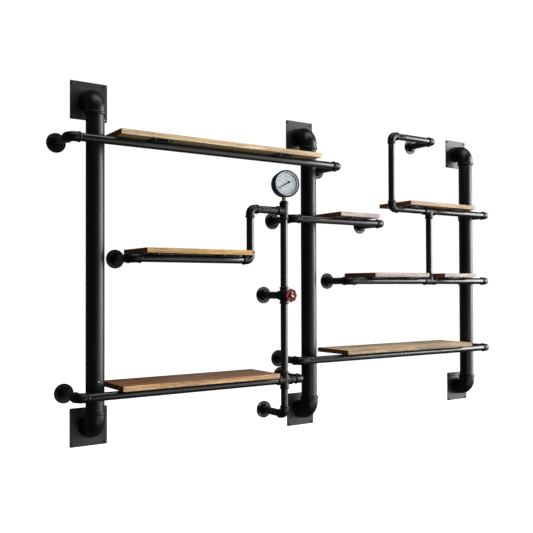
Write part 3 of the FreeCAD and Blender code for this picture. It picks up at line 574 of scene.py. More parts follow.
class Value:
    """A shader socket that Python expressions add Math nodes to."""

    def __init__(self, tree, socket):
        self.tree = tree
        self.socket = socket

    def math(self, operation, *others):
        """A Math node on this value and the others."""
        node = self.tree.nodes.new("ShaderNodeMath")
        node.operation = operation
        for socket, value in zip(node.inputs, (self,) + others):
            feed(self.tree, socket, value)
        return Value(self.tree, node.outputs[0])

    def __add__(self, other):
        return self.math("ADD", other)

    def __mul__(self, other):
        return self.math("MULTIPLY", other)

    def __sub__(self, other):
        return self.math("SUBTRACT", other)

    def __rsub__(self, other):
        return (self * -1.0) + other

    def __abs__(self):
        return self.math("ABSOLUTE")

    __radd__ = __add__
    __rmul__ = __mul__


def feed(tree, socket, value):
    """Links a socket to a Value, or sets it."""
    if isinstance(value, Value):
        tree.links.new(value.socket, socket)
    else:
        socket.default_value = value


class Finish:
    """A material in the making."""

    def __init__(self, name):
        self.material = bpy.data.materials.new(name)
        self.material.use_nodes = True
        self.tree = self.material.node_tree
        self.shader = self.tree.nodes["Principled BSDF"]

    def node(self, kind, settings=None, output=0, **sockets):
        """Any node: its settings are set first, then the values or links of its sockets by name."""
        node = self.tree.nodes.new(kind)
        for name, value in (settings or {}).items():
            setattr(node, name, value)
        for name, value in sockets.items():
            feed(self.tree, node.inputs[name.replace("_", " ")], value)
        return Value(self.tree, node.outputs[output])

    def noise(self, scale, detail=3.0, roughness=0.55, stretch=(1, 1, 1), distortion=0.0):
        """Noise on Object coordinates that are first multiplied by stretch."""
        place = self.node("ShaderNodeTexCoord", output="Object")
        where = self.node("ShaderNodeMapping", Vector=place, Scale=stretch)
        return self.node("ShaderNodeTexNoise", output="Fac", Vector=where, Scale=scale,
                         Detail=detail, Roughness=roughness, Distortion=distortion)

    def blend(self, share, first, second):
        """Colour between first and second."""
        mix = self.tree.nodes.new("ShaderNodeMix")
        mix.data_type = "RGBA"
        colours = [socket for socket in mix.inputs if socket.type == "RGBA"]
        feed(self.tree, mix.inputs[0], share)
        for socket, value in zip(colours, (first, second)):
            feed(self.tree, socket, value if isinstance(value, Value) else (*value, 1.0))
        return Value(self.tree, [socket for socket in mix.outputs if socket.type == "RGBA"][0])

    def steps(self, value, low, high):
        """0 at low, 1 at high, smooth between them."""
        return self.node("ShaderNodeMapRange", {"interpolation_type": "SMOOTHSTEP"}, Value=value,
                         From_Min=low, From_Max=high)

    def edges(self, low, high):
        """1 on convex edges, from the mesh's own pointiness."""
        return self.steps(self.node("ShaderNodeNewGeometry", output="Pointiness"), low, high)

    def facing(self, axis):
        """One component of the surface's normal."""
        normal = self.node("ShaderNodeNewGeometry", output="Normal")
        return self.node("ShaderNodeSeparateXYZ", output=axis, Vector=normal)

    def layers(self, share, first, second, *marks):
        """Colour between first and second, with each mark's colour laid over it by the mark's share."""
        colour = self.blend(share, first, second)
        for mark, tone in marks:
            colour = self.blend(mark, colour, tone)
        return colour

    def bump(self, height, distance, strength=0.5):
        """Normal for a relief of a height map."""
        return self.node("ShaderNodeBump", Height=height, Distance=distance, Strength=strength)

    def set(self, **sockets):
        """The material, once the shader's own sockets have these values or links by name."""
        for name, value in sockets.items():
            socket = self.shader.inputs[name.replace("_", " ")]
            if socket.type == "RGBA" and not isinstance(value, Value):
                value = (*value, 1.0)
            feed(self.tree, socket, value)
        return self.material


# ---------------------------------------------------------------- finishes

FINISHES = {}
# satin black paint: gloss, roughness, relief
BLACK_PAINTS = {"uprights": (0.46, 0.33, 0.00008), "saddles": (0.30, 0.46, 0.00008),
                "pipe": (0.80, 0.24, 0.00006)}
PAINT_CLOUD = 1.9                             # how much paler than the paint its clouds are
# steels: scales of their marks and clouds, both colours, roughness
STEELS = {"zinc-plated steel": (2200.0, 180.0, (0.52, 0.53, 0.55), (0.74, 0.74, 0.73), 0.20),
          "dull turned steel": (1900.0, 240.0, (0.20, 0.165, 0.155), (0.36, 0.31, 0.29), 0.32)}
# even coats: scale and detail of their grain, both colours, roughness with and without the grain, relief
# the grey coat on the dial's step is painted shade
COATS = {"grey gasket": (420.0, 3.0, (0.07, 0.09, 0.12), (0.13, 0.16, 0.20), 0.2, 0.55, 0.00003),
         "dial ink": (800.0, 3.0, (0.05, 0.07, 0.09), (0.10, 0.13, 0.16), 0.1, 0.5, 0.00002),
         "pointer black": (1300.0, 2.0, (0.006, 0.006, 0.007), (0.016, 0.016, 0.018), 0.14, 0.34, 0.00003)}
# patterns of the wood: stretch, detail, roughness, distortion
BANDS = ((2.2, 34.0, 90.0), 5.0, 0.62, 1.1)
LINES = ((7.0, 150.0, 300.0), 5.0, 0.7, 0.0)
FLECK = ((38.0, 210.0, 420.0), 3.0, 0.6, 0.0)
PORES = ((60.0, 900.0, 900.0), 2.0, 0.5, 0.0)
PATCHES = ((4.0, 9.0, 20.0), 2.0, 0.5, 0.0)
STREAKS = ((11.0, 60.0, 130.0), 3.0, 0.6, 0.6)
RINGS = ((1.0, 70.0, 190.0), 3.0, 0.5, 1.4)
KNOT, PORE = (0.16, 0.06, 0.025), (0.17, 0.08, 0.04)
# the underside colour is painted shade: the boards' undersides darkened where little light reaches
UNDERSIDE_SHADE, RING = (0.24, 0.14, 0.08), (0.33, 0.115, 0.042)


def finish_named(maker, *details):
    """The material of a finish, made once."""
    key = (maker, *details)
    if key not in FINISHES:
        FINISHES[key] = maker(*details)
    return FINISHES[key]


def shade(tone, share):
    """A colour with each channel multiplied by share."""
    return tuple(share * channel for channel in tone)


def black_paint(part):
    """Satin black: clouded colour and gloss, faint dust and small scuffs over a fine surface."""
    paint = Finish("black painted " + part)
    gloss, roughness, relief = BLACK_PAINTS[part]
    base = tuple(bpy.context.scene.shelf_pipework.paint)
    cloud, specks = paint.noise(14.0), paint.noise(1400.0)
    scuffs = paint.steps(paint.noise(48.0, 6.0, 0.7), 0.66, 0.74)
    return paint.set(
        Base_Color=paint.layers(cloud, base, shade(base, PAINT_CLOUD), (scuffs * 0.4, (0.018, 0.019, 0.020))),
        Roughness=cloud * 0.10 + scuffs * 0.10 + roughness, Specular_IOR_Level=gloss,
        Normal=paint.bump(specks + cloud * 0.6, relief))


def cast_paint():
    """Satin black over a cast surface: a fine sand grain, larger dimples and rubbed edges."""
    paint = Finish("black cast fittings")
    base = tuple(bpy.context.scene.shelf_pipework.paint)
    grain, dimples, cloud = paint.noise(800.0, 4.0), paint.noise(230.0, 3.0, 0.65), paint.noise(22.0)
    rubbed = paint.edges(0.53, 0.62) * paint.steps(paint.noise(260.0, 4.0), 0.42, 0.62)
    return paint.set(
        Base_Color=paint.layers(cloud, base, shade(base, PAINT_CLOUD), (rubbed * 0.6, (0.022, 0.023, 0.024))),
        Roughness=cloud * 0.12 + grain * 0.10 + 0.22, Specular_IOR_Level=0.40,
        Normal=paint.bump(grain * 0.30 + dimples, 0.00060, 0.8))


def plate_paint():
    """Powder coat on flat steel: an even orange-peel texture and slightly polished edges."""
    paint = Finish("powder-coated plate")
    peel, cloud, speckle = paint.noise(520.0, 2.0), paint.noise(16.0, 4.0), paint.noise(190.0, 3.0, 0.7)
    return paint.set(
        Base_Color=paint.layers(cloud, (0.0048, 0.0062, 0.0070), (0.0088, 0.0114, 0.0130),
                                (paint.steps(speckle, 0.5, 0.68) * 0.5, (0.020, 0.026, 0.030)),
                                (paint.edges(0.52, 0.60) * 0.35, (0.042, 0.052, 0.058))),
        Roughness=cloud * 0.12 + speckle * 0.16 + 0.30, Specular_IOR_Level=0.56,
        Normal=paint.bump(peel * 0.5 + speckle, 0.00030))


def board_wood(tone):
    """Oiled softwood: growth bands, fine dark lines and pores drawn out along the board. The tops are darker
    and glossier than the edges, their colour partly oil stain and partly painted shade; the undersides are
    painted darker as painted shade, and the ends show rings in a dark colour that is partly stain and partly
    painted shade."""
    look = bpy.context.scene.shelf_boards
    early, dark = tuple(getattr(look, tone + "_early")), tuple(getattr(look, tone + "_late"))
    _, _, figure, own_top = WOODS[tone]
    wood = Finish(tone + " oiled boards")
    bands, lines, fleck, pores, patches, streaks, rings = (
        wood.noise(1.0, detail, roughness, stretch, distortion)
        for stretch, detail, roughness, distortion in (BANDS, LINES, FLECK, PORES, PATCHES, STREAKS, RINGS))
    knots = wood.steps(wood.noise(7.0, 2.0, 0.4, (0.55, 1.0, 1.0)), 0.68, 0.75)
    late, up = wood.steps(bands * 0.5 + lines * 0.5, 0.40, 0.60), wood.facing("Z")
    top, underside = wood.steps(up, 0.6, 0.85), wood.steps(up * -1.0, 0.6, 0.85)
    end = wood.steps(abs(wood.facing("X")), 0.55, 0.85)
    front = wood.layers(
        late, early, dark,
        (wood.steps(patches, 0.44, 0.66) * 0.36 * figure, shade(dark, 0.55)),
        (wood.steps(streaks, 0.50, 0.60) * 0.38 * figure, shade(dark, 0.55)),
        (wood.steps(lines, 0.53, 0.64) * 0.60 * figure, shade(dark, 0.42)),
        (wood.steps(fleck, 0.52, 0.66) * 0.52 * figure, shade(dark, 0.5)),
        (knots * 0.6, KNOT), (wood.steps(pores, 0.60, 0.75) * 0.30, PORE))
    # the top's colour: partly oil stain, partly painted shade, unless the tone has its own top colour
    oiled_and_shaded = own_top or tuple(kept * channel for kept, channel in zip(look.top_stain_and_shade, dark))
    stained_and_shaded = wood.layers(
        late, oiled_and_shaded, shade(oiled_and_shaded, 0.66), (wood.steps(patches, 0.46, 0.68) * 0.5, shade(oiled_and_shaded, 0.45)),
        (wood.steps(lines, 0.55, 0.68) * 0.7, shade(oiled_and_shaded, 0.25)))
    # end grain: stain and painted shade in one dark colour, with rings over it
    ringed = wood.blend(wood.steps(rings, 0.35, 0.68), tuple(look.end_stain_and_shade), RING)
    # the undersides take a darker colour as painted shade
    return wood.set(
        Base_Color=wood.layers(top * 0.9, front, stained_and_shaded, (underside * 0.55, UNDERSIDE_SHADE), (end, ringed)),
        Roughness=late * 0.08 + pores * 0.10 - top * 0.10 + 0.40, Specular_IOR_Level=0.32,
        Normal=wood.bump(pores * 0.4 + lines * 0.6 + rings * end * 0.6, 0.00035))


def red_enamel():
    """Red enamel over a rough casting, thin on the edges."""
    paint = Finish("red enamel")
    grain, cloud = paint.noise(750.0, 4.0), paint.noise(70.0)
    worn = paint.edges(0.56, 0.68) * paint.steps(paint.noise(420.0, 4.0), 0.5, 0.66)
    return paint.set(
        Base_Color=paint.layers(cloud, (0.155, 0.0015, 0.005), (0.26, 0.003, 0.010),
                                (worn * 0.35, (0.13, 0.035, 0.03))),
        Roughness=grain * 0.16 + 0.26, Specular_IOR_Level=0.28,
        Normal=paint.bump(grain + cloud, 0.00022, 0.6))


def turned_steel(name):
    """Steel with fine turning marks and dull patches."""
    steel = Finish(name)
    mark_scale, cloud_scale, dull, bright, roughness = STEELS[name]
    marks, cloud = steel.noise(mark_scale, 2.0), steel.noise(cloud_scale)
    return steel.set(Base_Color=steel.blend(cloud, dull, bright), Metallic=1.0,
                     Roughness=marks * 0.12 + cloud * 0.16 + roughness, Normal=steel.bump(marks, 0.00005))


def blackened_steel():
    """Black-oxide screws, rubbed bright in spots."""
    steel = Finish("blackened steel")
    rub, cloud = steel.steps(steel.noise(500.0, 4.0), 0.55, 0.72), steel.noise(90.0)
    return steel.set(
        Base_Color=steel.layers(cloud, (0.010, 0.010, 0.011), (0.024, 0.024, 0.025),
                                (rub * 0.5, (0.09, 0.09, 0.09))),
        Roughness=cloud * 0.15 + 0.30, Specular_IOR_Level=0.5, Normal=steel.bump(cloud + rub, 0.00005, 0.4))


def machined_brass():
    """Turned brass, a little tarnished in its hollows."""
    brass = Finish("machined brass")
    marks, tarnish = brass.noise(1500.0, 2.0), brass.steps(brass.noise(110.0, 4.0), 0.45, 0.7)
    return brass.set(Base_Color=brass.blend(tarnish, (0.80, 0.58, 0.16), (0.42, 0.28, 0.07)), Metallic=1.0,
                     Roughness=tarnish * 0.22 + marks * 0.10 + 0.20, Normal=brass.bump(marks, 0.00005))


def case_paint():
    """Semi-gloss black on pressed steel."""
    paint = Finish("gauge case black")
    haze, peel = paint.noise(36.0), paint.noise(700.0, 2.0)
    return paint.set(Base_Color=paint.blend(haze, (0.0045, 0.0045, 0.005), (0.010, 0.010, 0.011)),
                     Roughness=haze * 0.12 + 0.22, Specular_IOR_Level=0.5,
                     Normal=paint.bump(peel, 0.00006, 0.4))


def dial_white():
    """Printed dial: cool white with a faint mottling under the glass, and a painted glow in the same white
    that stands in for light.
    """
    dial = Finish("printed dial")
    mottle, fibre = dial.noise(120.0, 4.0), dial.noise(900.0, 2.0)
    white = dial.blend(mottle, (0.80, 0.85, 0.87), (0.92, 0.95, 0.95))
    # the emission is a painted glow: light painted into the dial, which is no lamp
    return dial.set(Base_Color=white, Roughness=fibre * 0.12 + 0.5, Normal=dial.bump(fibre, 0.00003, 0.3),
                    Emission_Color=white, Emission_Strength=DIAL_PAINTED_GLOW)


def even_coat(name):
    """Thin coat whose colour, gloss and relief all follow one fine grain."""
    coat = Finish(name)
    scale, detail, dark, pale, spread, roughness, relief = COATS[name]
    grain = coat.noise(scale, detail)
    return coat.set(Base_Color=coat.blend(grain, dark, pale), Roughness=grain * spread + roughness,
                    Normal=coat.bump(grain, relief, 0.3))


def clear_glass():
    """Window glass with a trace of dust."""
    glass = Finish("gauge glass")
    return glass.set(Base_Color=(0.97, 0.985, 1.0), Roughness=glass.noise(300.0, 5.0) * 0.03 + 0.01,
                     Transmission_Weight=1.0, IOR=1.45)


# ---------------------------------------------------------------- the frame's pipes

def islands(node):
    """Lowest and highest corner of each separate solid of a node, left to right and then upwards."""
    work = bmesh.new()
    work.from_mesh(frame["nodes"][node].data)
    bmesh.ops.remove_doubles(work, verts=work.verts, dist=WELD)
    boxes, waiting = [], set(work.verts)
    while waiting:
        found, edge = set(), [waiting.pop()]
        while edge:
            vertex = edge.pop()
            found.add(vertex)
            near = {link.other_vert(vertex) for link in vertex.link_edges} & waiting
            waiting -= near
            edge += near
        points = np.array([vertex.co for vertex in found])
        boxes.append((points.min(0), points.max(0)))
    work.free()
    return sorted(boxes, key=lambda box: (round(float(box[0][0]), 4), float(box[0][2])))


def box_of(node):
    """Lowest and highest corner of a node."""
    return [np.array(corner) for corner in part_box(node)]


def axis_ends(low, high):
    """Both ends of a straight pipe's axis, from its box: the longest side is the pipe's direction."""
    start, end = (low + high) / 2, (low + high) / 2
    longest = int(np.argmax(high - low))
    start[longest], end[longest] = low[longest], high[longest]
    return start, end


def outer_end(node, which):
    """The first or last end of a pipe node, and the direction out of it."""
    ends = axis_ends(*islands(node)[-1 if which else 0])
    outward = ends[1] - ends[0]
    outward = outward / np.linalg.norm(outward)
    return (ends[1], outward) if which else (ends[0], -outward)


def pipes(node, size, grips):
    """All the pipes of a node. Grips are the lengths inside the fittings at both ends."""
    return [pipe(size, *axis_ends(*box), grips) for box in islands(node)]


def corner_elbows(side):
    """The small elbows on one side of the unit."""
    return [elbow(SMALL, *outer_end(node, which), turn) for node, turns in CORNERS[side].items()
            for which, turn in enumerate(turns) if turn is not None]


def upright_elbows(side):
    """Both large elbows of an upright."""
    ends = axis_ends(*islands(side + "_upright_pipe")[0])
    return [elbow(LARGE, end, outward, TO_WALL) for end, outward in zip(ends, (DOWN, UP))]


def junction(size, centre, main, arms, swell=0.0):
    """A run with an arm for each branch: a tee, a cross or a valve body."""
    return [run(size, centre, main, swell), *(branch(size, centre, main, arm, swell) for arm in arms)]


def junctions(name):
    """The tees, or the cross, on the ends of their pipes."""
    return [part for node, which, main, arms in JUNCTIONS[name]
            for part in junction(SMALL, fitting_centre(SMALL, *outer_end(node, which)), main, arms)]


# ---------------------------------------------------------------- operators

class SHELF_OT_pipes(bpy.types.Operator):
    """Threaded pipes of the uprights, the rails and their arms"""

    bl_idname = "shelf.pipes"
    bl_label = "Pipes"

    def execute(self, context):
        paint, satin = finish_named(black_paint, "pipe"), finish_named(black_paint, "uprights")
        small, large = SMALL.socket - SOCKET_SPARE, LARGE.socket - SOCKET_SPARE
        for node in RAIL_NODES:
            made("pipe_" + node, paint, "black_pipe", pipes(node, SMALL, (small, small)), node)
        arms = pipes("arm_nipples", SMALL, (small, FLANGE_GRIP))
        made("arm_pipes", paint, "black_pipe", arms, "arm_nipples")
        for side in ("centre", "right"):
            node = side + "_upright_pipe"
            made("upright_" + side, satin, "black_pipe", pipes(node, LARGE, (large, large)), node)
        softened("upright_left", "left_upright_pipe", satin, "black_pipe", segments=1)
        softened("plate_nipples", "upright_nipples", satin, "black_pipe", segments=2)
        return {"FINISHED"}


class SHELF_OT_fittings(bpy.types.Operator):
    """Beaded elbows, tees and crosses"""

    bl_idname = "shelf.fittings"
    bl_label = "Fittings"

    def execute(self, context):
        paint = finish_named(cast_paint)
        for side in CORNERS:
            made(side + "_elbows", paint, "black_iron", corner_elbows(side), side + "_pipe_elbows")
        for side in ("left", "centre", "right"):
            made(side + "_large_elbows", paint, "black_iron", upright_elbows(side), side + "_upright_elbows")
        for name in JUNCTIONS:
            made(name, paint, "black_iron", junctions(name), "pipe_" + name)
        return {"FINISHED"}


def screw_head(seat, outward, size):
    """Domed head on a shank of half its radius: at share s of the height the radius is r * sqrt(1 - s^2).

    A cross is pressed in: inside 0.62 r the dome falls by up to 0.8 h * exp(-(sin 2t / 0.35)^2)."""
    radius, height = size
    share = np.linspace(0, 1, HEAD_RINGS + 1)[:-1]
    places = np.concatenate([[-height, -height * 0.9, 0.0], share * height])
    radii = np.concatenate([[radius * 0.45, radius * 0.5, radius * 0.5], radius * np.sqrt(1 - share ** 2)])
    grid = carried(straight(seat, outward), places, radii, HEAD_SIDES)
    slot_depth = np.exp(-((np.sin(2 * round_the(HEAD_SIDES)) / 0.35) ** 2))
    inward = np.clip(1 - radii / (0.62 * radius), 0, 1) * (np.arange(len(places)) > HEAD_RINGS // 2 + 1)
    pressed = (inward[:, None] * slot_depth[None, :] * height * 0.8)[..., None] * outward
    return surface(grid - pressed, caps=True)


def saddle_screws():
    """Four screws down through each saddle, into the board."""
    for low, high in islands("saddle_plates"):
        middle = (low + high) / 2
        for along in (-SADDLE_HOLES[0], SADDLE_HOLES[0]):
            for aside in (-SADDLE_HOLES[1], SADDLE_HOLES[1]):
                seat = np.array([middle[0] + along, middle[1] + aside, high[2] - SADDLE_SCREW_SINK])
                yield screw_head(seat, DOWN, SADDLE_SCREW)


def wall_screws():
    """Black screws in the holes of the plates and flanges. The riser's foot flange keeps its holes open, and
    so does the lower right corner of the left upright's top plate."""
    plates = islands("wall_plates")
    first_x, top_z = min(low[0] for low, _ in plates), max(high[2] for _, high in plates)
    for low, high in plates:
        left_top = abs(low[0] - first_x) < MM and abs(high[2] - top_z) < MM
        for right, x in enumerate((low[0] + PLATE_HOLE_INSET, high[0] - PLATE_HOLE_INSET)):
            for upper, z in enumerate((low[2] + PLATE_HOLE_INSET, high[2] - PLATE_HOLE_INSET)):
                if not (left_top and right and not upper):
                    yield screw_head(np.array([x, low[1], z]), TO_ROOM, PLATE_SCREW)
    for low, high in islands("wall_flanges"):
        middle = (low + high) / 2
        if np.hypot(*(middle - RISER_FOOT)[[0, 2]]) < NEAR:
            continue
        for corner in ((1, 1), (1, -1), (-1, 1), (-1, -1)):
            aside, above = np.array(corner) * FLANGE_HOLE_CIRCLE / math.sqrt(8)
            seat = np.array([middle[0] + aside, high[1] - FLANGE_PLATE_T, middle[2] + above])
            yield screw_head(seat, TO_ROOM, FLANGE_SCREW)


class SHELF_OT_plates(bpy.types.Operator):
    """Wall plates, wall flanges, saddle plates and their screws"""

    bl_idname = "shelf.plates"
    bl_label = "Plates and flanges"

    def execute(self, context):
        rounding = context.scene.shelf_pipework.edge_round
        bright = finish_named(turned_steel, "zinc-plated steel")
        coat, satin = finish_named(plate_paint), finish_named(black_paint, "saddles")
        softened("wall_plates_finished", "wall_plates", coat, "plate_steel", width=rounding)
        softened("saddles", "saddle_plates", satin, "plate_steel", segments=2, width=rounding / 2)
        softened("flanges", "wall_flanges", finish_named(cast_paint), "black_iron", width=rounding)
        made("saddle_screws", bright, "plate_steel", saddle_screws())
        low, high = box_of("left_upright_pipe")
        front = np.array([(low[0] + high[0]) / 2, low[1], UPRIGHT_SCREW_HEIGHT])
        made("upright_screw", bright, "plate_steel", [screw_head(front, TO_ROOM, UPRIGHT_SCREW)])
        made("black_wall_screws", finish_named(blackened_steel), "plate_steel", wall_screws())
        return {"FINISHED"}


class SHELF_OT_boards(bpy.types.Operator):
    """Wooden boards"""

    bl_idname = "shelf.boards"
    bl_label = "Boards"

    def execute(self, context):
        look = context.scene.shelf_boards
        for number, (name, tone) in enumerate(BOARDS.items()):
            board = plank(*box_of(name), look.arris, look.waviness, BOARD_PHASE * number)
            made("oiled_" + name, finish_named(board_wood, tone), "wood", [board], name)
        return {"FINISHED"}


class SHELF_OT_valve(bpy.types.Operator):
    """Valve body, bonnet, stem, plug and handwheel"""

    bl_idname = "shelf.valve"
    bl_label = "Valve"

    def execute(self, context):
        cast, steel = finish_named(cast_paint), finish_named(turned_steel, "dull turned steel")
        casting = junction(SMALL, sum(box_of("valve_body")) / 2, UP, (TO_WALL, TO_ROOM), BALL_R)
        made("valve_casting", cast, "black_iron", casting, "valve_body")
        softened("bonnet", "valve_bonnet", cast, "black_iron")
        softened("packing_nut_finished", "packing_nut", cast, "black_iron")
        softened("wheel", "handwheel", finish_named(red_enamel), "red_enamel", "handwheel")
        softened("wheel_nut", "handwheel_nut", steel, "bright_steel", "handwheel")
        softened("stem", "valve_stem", steel, "bright_steel", "handwheel")
        softened("plug", "valve_plug", finish_named(machined_brass), "brass", "valve_plug")
        return {"FINISHED"}


class Dial:
    """The dial's own axes: right and up on its face and out towards the room, about the pointer's shaft."""

    def __init__(self):
        joint = next(joint for joint in frame["joints"] if joint["name"] == "pointer_turn")
        self.centre = np.array(joint["pos_m"])
        self.out = -np.array(joint["axis"])
        self.right = np.cross(UP, self.out)
        forward, aside, _ = self.measured("gauge_dial")
        self.back, self.rim, self.radius = float(forward.min()), float(forward.max()), float(aside.max())
        self.face = float(forward[aside < DIAL_MIDDLE].max())
        self.edge = self.radius - RIM_WIDTH
        self.shaft = straight(self.centre, self.out)

    def measured(self, node):
        """How far each corner of a node stands forward and aside of the pointer's shaft, and its offset."""
        offset = np.array([vertex.co for vertex in frame["nodes"][node].data.vertices]) - self.centre
        forward = offset @ self.out
        return forward, np.linalg.norm(offset - forward[:, None] * self.out, axis=1), offset

    def point(self, aside, above, forward):
        """Points from distances along the dial's axes."""
        aside, above, forward = np.broadcast_arrays(aside, above, forward)
        return (self.centre + aside[..., None] * self.right + above[..., None] * UP
                + forward[..., None] * self.out)

    def matrix(self, aside, above, forward):
        """Placement of something drawn in its own XY plane onto the face."""
        turn = Matrix([[*row] for row in np.stack([self.right, UP, self.out], axis=-1)]).to_4x4()
        return Matrix.Translation(Vector(self.point(*map(np.float64, (aside, above, forward))))) @ turn


def face_bar(dial, angle, reach, widths, depths):
    """Bar along a radius of the dial: a four-sided ring, as wide as widths at the radii of reach, carried
    between two depths."""
    radial = np.array([math.cos(angle), math.sin(angle)])
    aside = np.array([-radial[1], radial[0]]) / 2
    (inner, outer), (inner_width, outer_width) = reach, widths
    corners = np.array([radial * inner - aside * inner_width, radial * outer - aside * outer_width,
                        radial * outer + aside * outer_width, radial * inner + aside * inner_width])
    rings = [dial.point(corners[:, 0], corners[:, 1], np.float64(depth)) for depth in depths]
    return surface(np.stack(rings), caps=True)


def dial_pan(dial):
    """Dial with a raised rim: its section, from the hole over the face, the slope, the rim and the back."""
    section = [(dial.face, DIAL_HOLE_R), (dial.face, dial.edge - RIM_SLOPE),
               (dial.rim - RIM_SLOPE / 2, dial.edge), (dial.rim, dial.edge + RIM_SLOPE / 2),
               (dial.rim, dial.radius), (dial.back, dial.radius), (dial.back, DIAL_HOLE_R)]
    return turned(dial.shaft, section, DIAL_SIDES)


def dial_gasket(dial):
    """Dark ring over the step between the dial's face and its rim: painted shade where the step's wall falls
    in shade.
    """
    section = [(dial.face, dial.edge - STEP_SHADE_WIDTH), (dial.rim - RIM_SLOPE, dial.edge - RIM_SLOPE),
               (dial.rim - RIM_SLOPE, dial.edge + RIM_SLOPE), (dial.face, dial.edge + RIM_SLOPE)]
    return turned(dial.shaft, section, DIAL_SIDES)


def pointer_blade(dial):
    """Blade and round tail, drawn over the pointer's own: the tip is its point furthest from the shaft."""
    forward, aside, offset = dial.measured("gauge_pointer")
    tip = offset[np.argmax(aside)]
    angle = math.atan2(float(tip @ UP), float(tip @ dial.right))
    blade = forward[aside > POINTER_BODY]
    depths = (float(blade.min()) - INK_HEIGHT, float(blade.max()) + INK_HEIGHT)
    tail = dial.point(*(-POINTER_TAIL * np.array([math.cos(angle), math.sin(angle)])), np.float64(0))
    return [face_bar(dial, angle, (-POINTER_TAIL, float(aside.max())), POINTER_WIDTHS, depths),
            turned(straight(tail, dial.out), [(depth, TAIL_R) for depth in depths], TAIL_SIDES, caps=True)]


def scale_ticks(dial, look):
    """A bar for each division of the scale, longer and wider at the numbers and halfway between them."""
    for k in range(look.divisions + 1):
        angle = SCALE_START + SCALE_SWEEP * k / look.divisions
        main = k % (look.divisions // SCALE_NUMBERS) == 0
        middle = k % (look.divisions // (2 * SCALE_NUMBERS)) == 0
        tick, width = TICKS[0 if main else 1 if middle else 2]
        reach, depths = (look.scale_radius - tick, look.scale_radius), (dial.face, dial.face + INK_HEIGHT)
        yield face_bar(dial, angle, reach, (width, width), depths)


def scale_number(dial, look, text, aside, above):
    """A number drawn with the built-in font and laid on the face."""
    curve = bpy.data.curves.new("number_" + text, "FONT")
    curve.body = text
    curve.align_x = "CENTER"
    curve.align_y = "CENTER"
    curve.size = look.number_height * FONT_SCALE
    curve.extrude = INK_HEIGHT / 2
    source = linked("number_source", curve)
    bpy.context.view_layer.update()
    mesh = bpy.data.meshes.new_from_object(source)
    bpy.data.objects.remove(source)
    mesh.transform(dial.matrix(aside, above, dial.face + INK_HEIGHT / 2))
    dressed(linked("scale_number_" + text, mesh), finish_named(even_coat, "dial ink"), "dial_white",
            sharp=INK_ANGLE)


class SHELF_OT_gauge(bpy.types.Operator):
    """Pressure gauge: case, bezel, glass, printed dial, pointer, movement and brass socket"""

    bl_idname = "shelf.gauge"
    bl_label = "Gauge"

    def execute(self, context):
        look, dial = context.scene.shelf_gauge, Dial()
        black, brass = finish_named(case_paint), finish_named(machined_brass)
        thin = finish_named(even_coat, "pointer black")
        softened("case", "gauge_case", black, "black_case")
        softened("bezel", "gauge_bezel", black, "black_case", segments=4)
        softened("bushing", "gauge_bushing", finish_named(cast_paint), "black_iron")
        softened("brass_socket", "gauge_socket", brass, "brass")
        softened("movement", "gauge_movement", brass, "brass", segments=1)
        softened("pointer", "gauge_pointer", thin, "pointer_black", "gauge_pointer", segments=2)
        made("pointer_blade", thin, "pointer_black", pointer_blade(dial), body="gauge_pointer")
        made("dial_face", finish_named(dial_white), "dial_white", [dial_pan(dial)], "gauge_dial")
        # dark ring of painted shade on the dial's step
        made("dial_gasket", finish_named(even_coat, "grey gasket"), "black_case", [dial_gasket(dial)])
        softened("glass", "gauge_glass", finish_named(clear_glass), "glass", segments=2)
        made("scale_ticks", finish_named(even_coat, "dial ink"), "dial_white", scale_ticks(dial, look),
             sharp=INK_ANGLE)
        radius = look.scale_radius - NUMBERS_IN
        for k in range(SCALE_NUMBERS + 1):
            angle = SCALE_START + SCALE_SWEEP * k / SCALE_NUMBERS
            place = radius * math.cos(angle), radius * math.sin(angle)
            scale_number(dial, look, f"{k * SCALE_STEP:g}", *place)
        scale_number(dial, look, CLASS_NUMBER, 0.0, CLASS_NUMBER_UP)
        return {"FINISHED"}


# ---------------------------------------------------------------- stage

def viewpoint():
    """Camera turned by its yaw from +Y towards +X, then pitched and rolled, with its lens axis off the
    middle."""
    lens = bpy.data.cameras.new("camera")
    camera = linked("camera", lens)
    camera.matrix_world = (
        Matrix.Translation(CAMERA_PLACE) @ Matrix.Rotation(-CAMERA_YAW, 4, "Z")
        @ Matrix.Rotation(QUARTER + CAMERA_PITCH, 4, "X") @ Matrix.Rotation(CAMERA_ROLL, 4, "Z"))
    lens.sensor_width = SENSOR
    lens.lens = FOCAL_PIXELS / IMAGE_SIDE * SENSOR
    lens.shift_x = (IMAGE_SIDE / 2 - AXIS_PIXEL[0]) / IMAGE_SIDE
    lens.shift_y = (AXIS_PIXEL[1] - IMAGE_SIDE / 2) / IMAGE_SIDE
    bpy.context.scene.camera = camera


def softbox(name, watts):
    """Rectangular area light that faces a target."""
    _, place, target, size, _, tint = SOFTBOXES[name]
    light = bpy.data.lights.new(name, "AREA")
    light.shape = "RECTANGLE"
    light.size, light.size_y = size
    light.energy = watts
    light.color = tint
    box = linked(name, light)
    box.location = place
    box.rotation_mode = "QUATERNION"
    box.rotation_quaternion = (Vector(target) - Vector(place)).to_track_quat("-Z", "Y")
    box.visible_camera = False


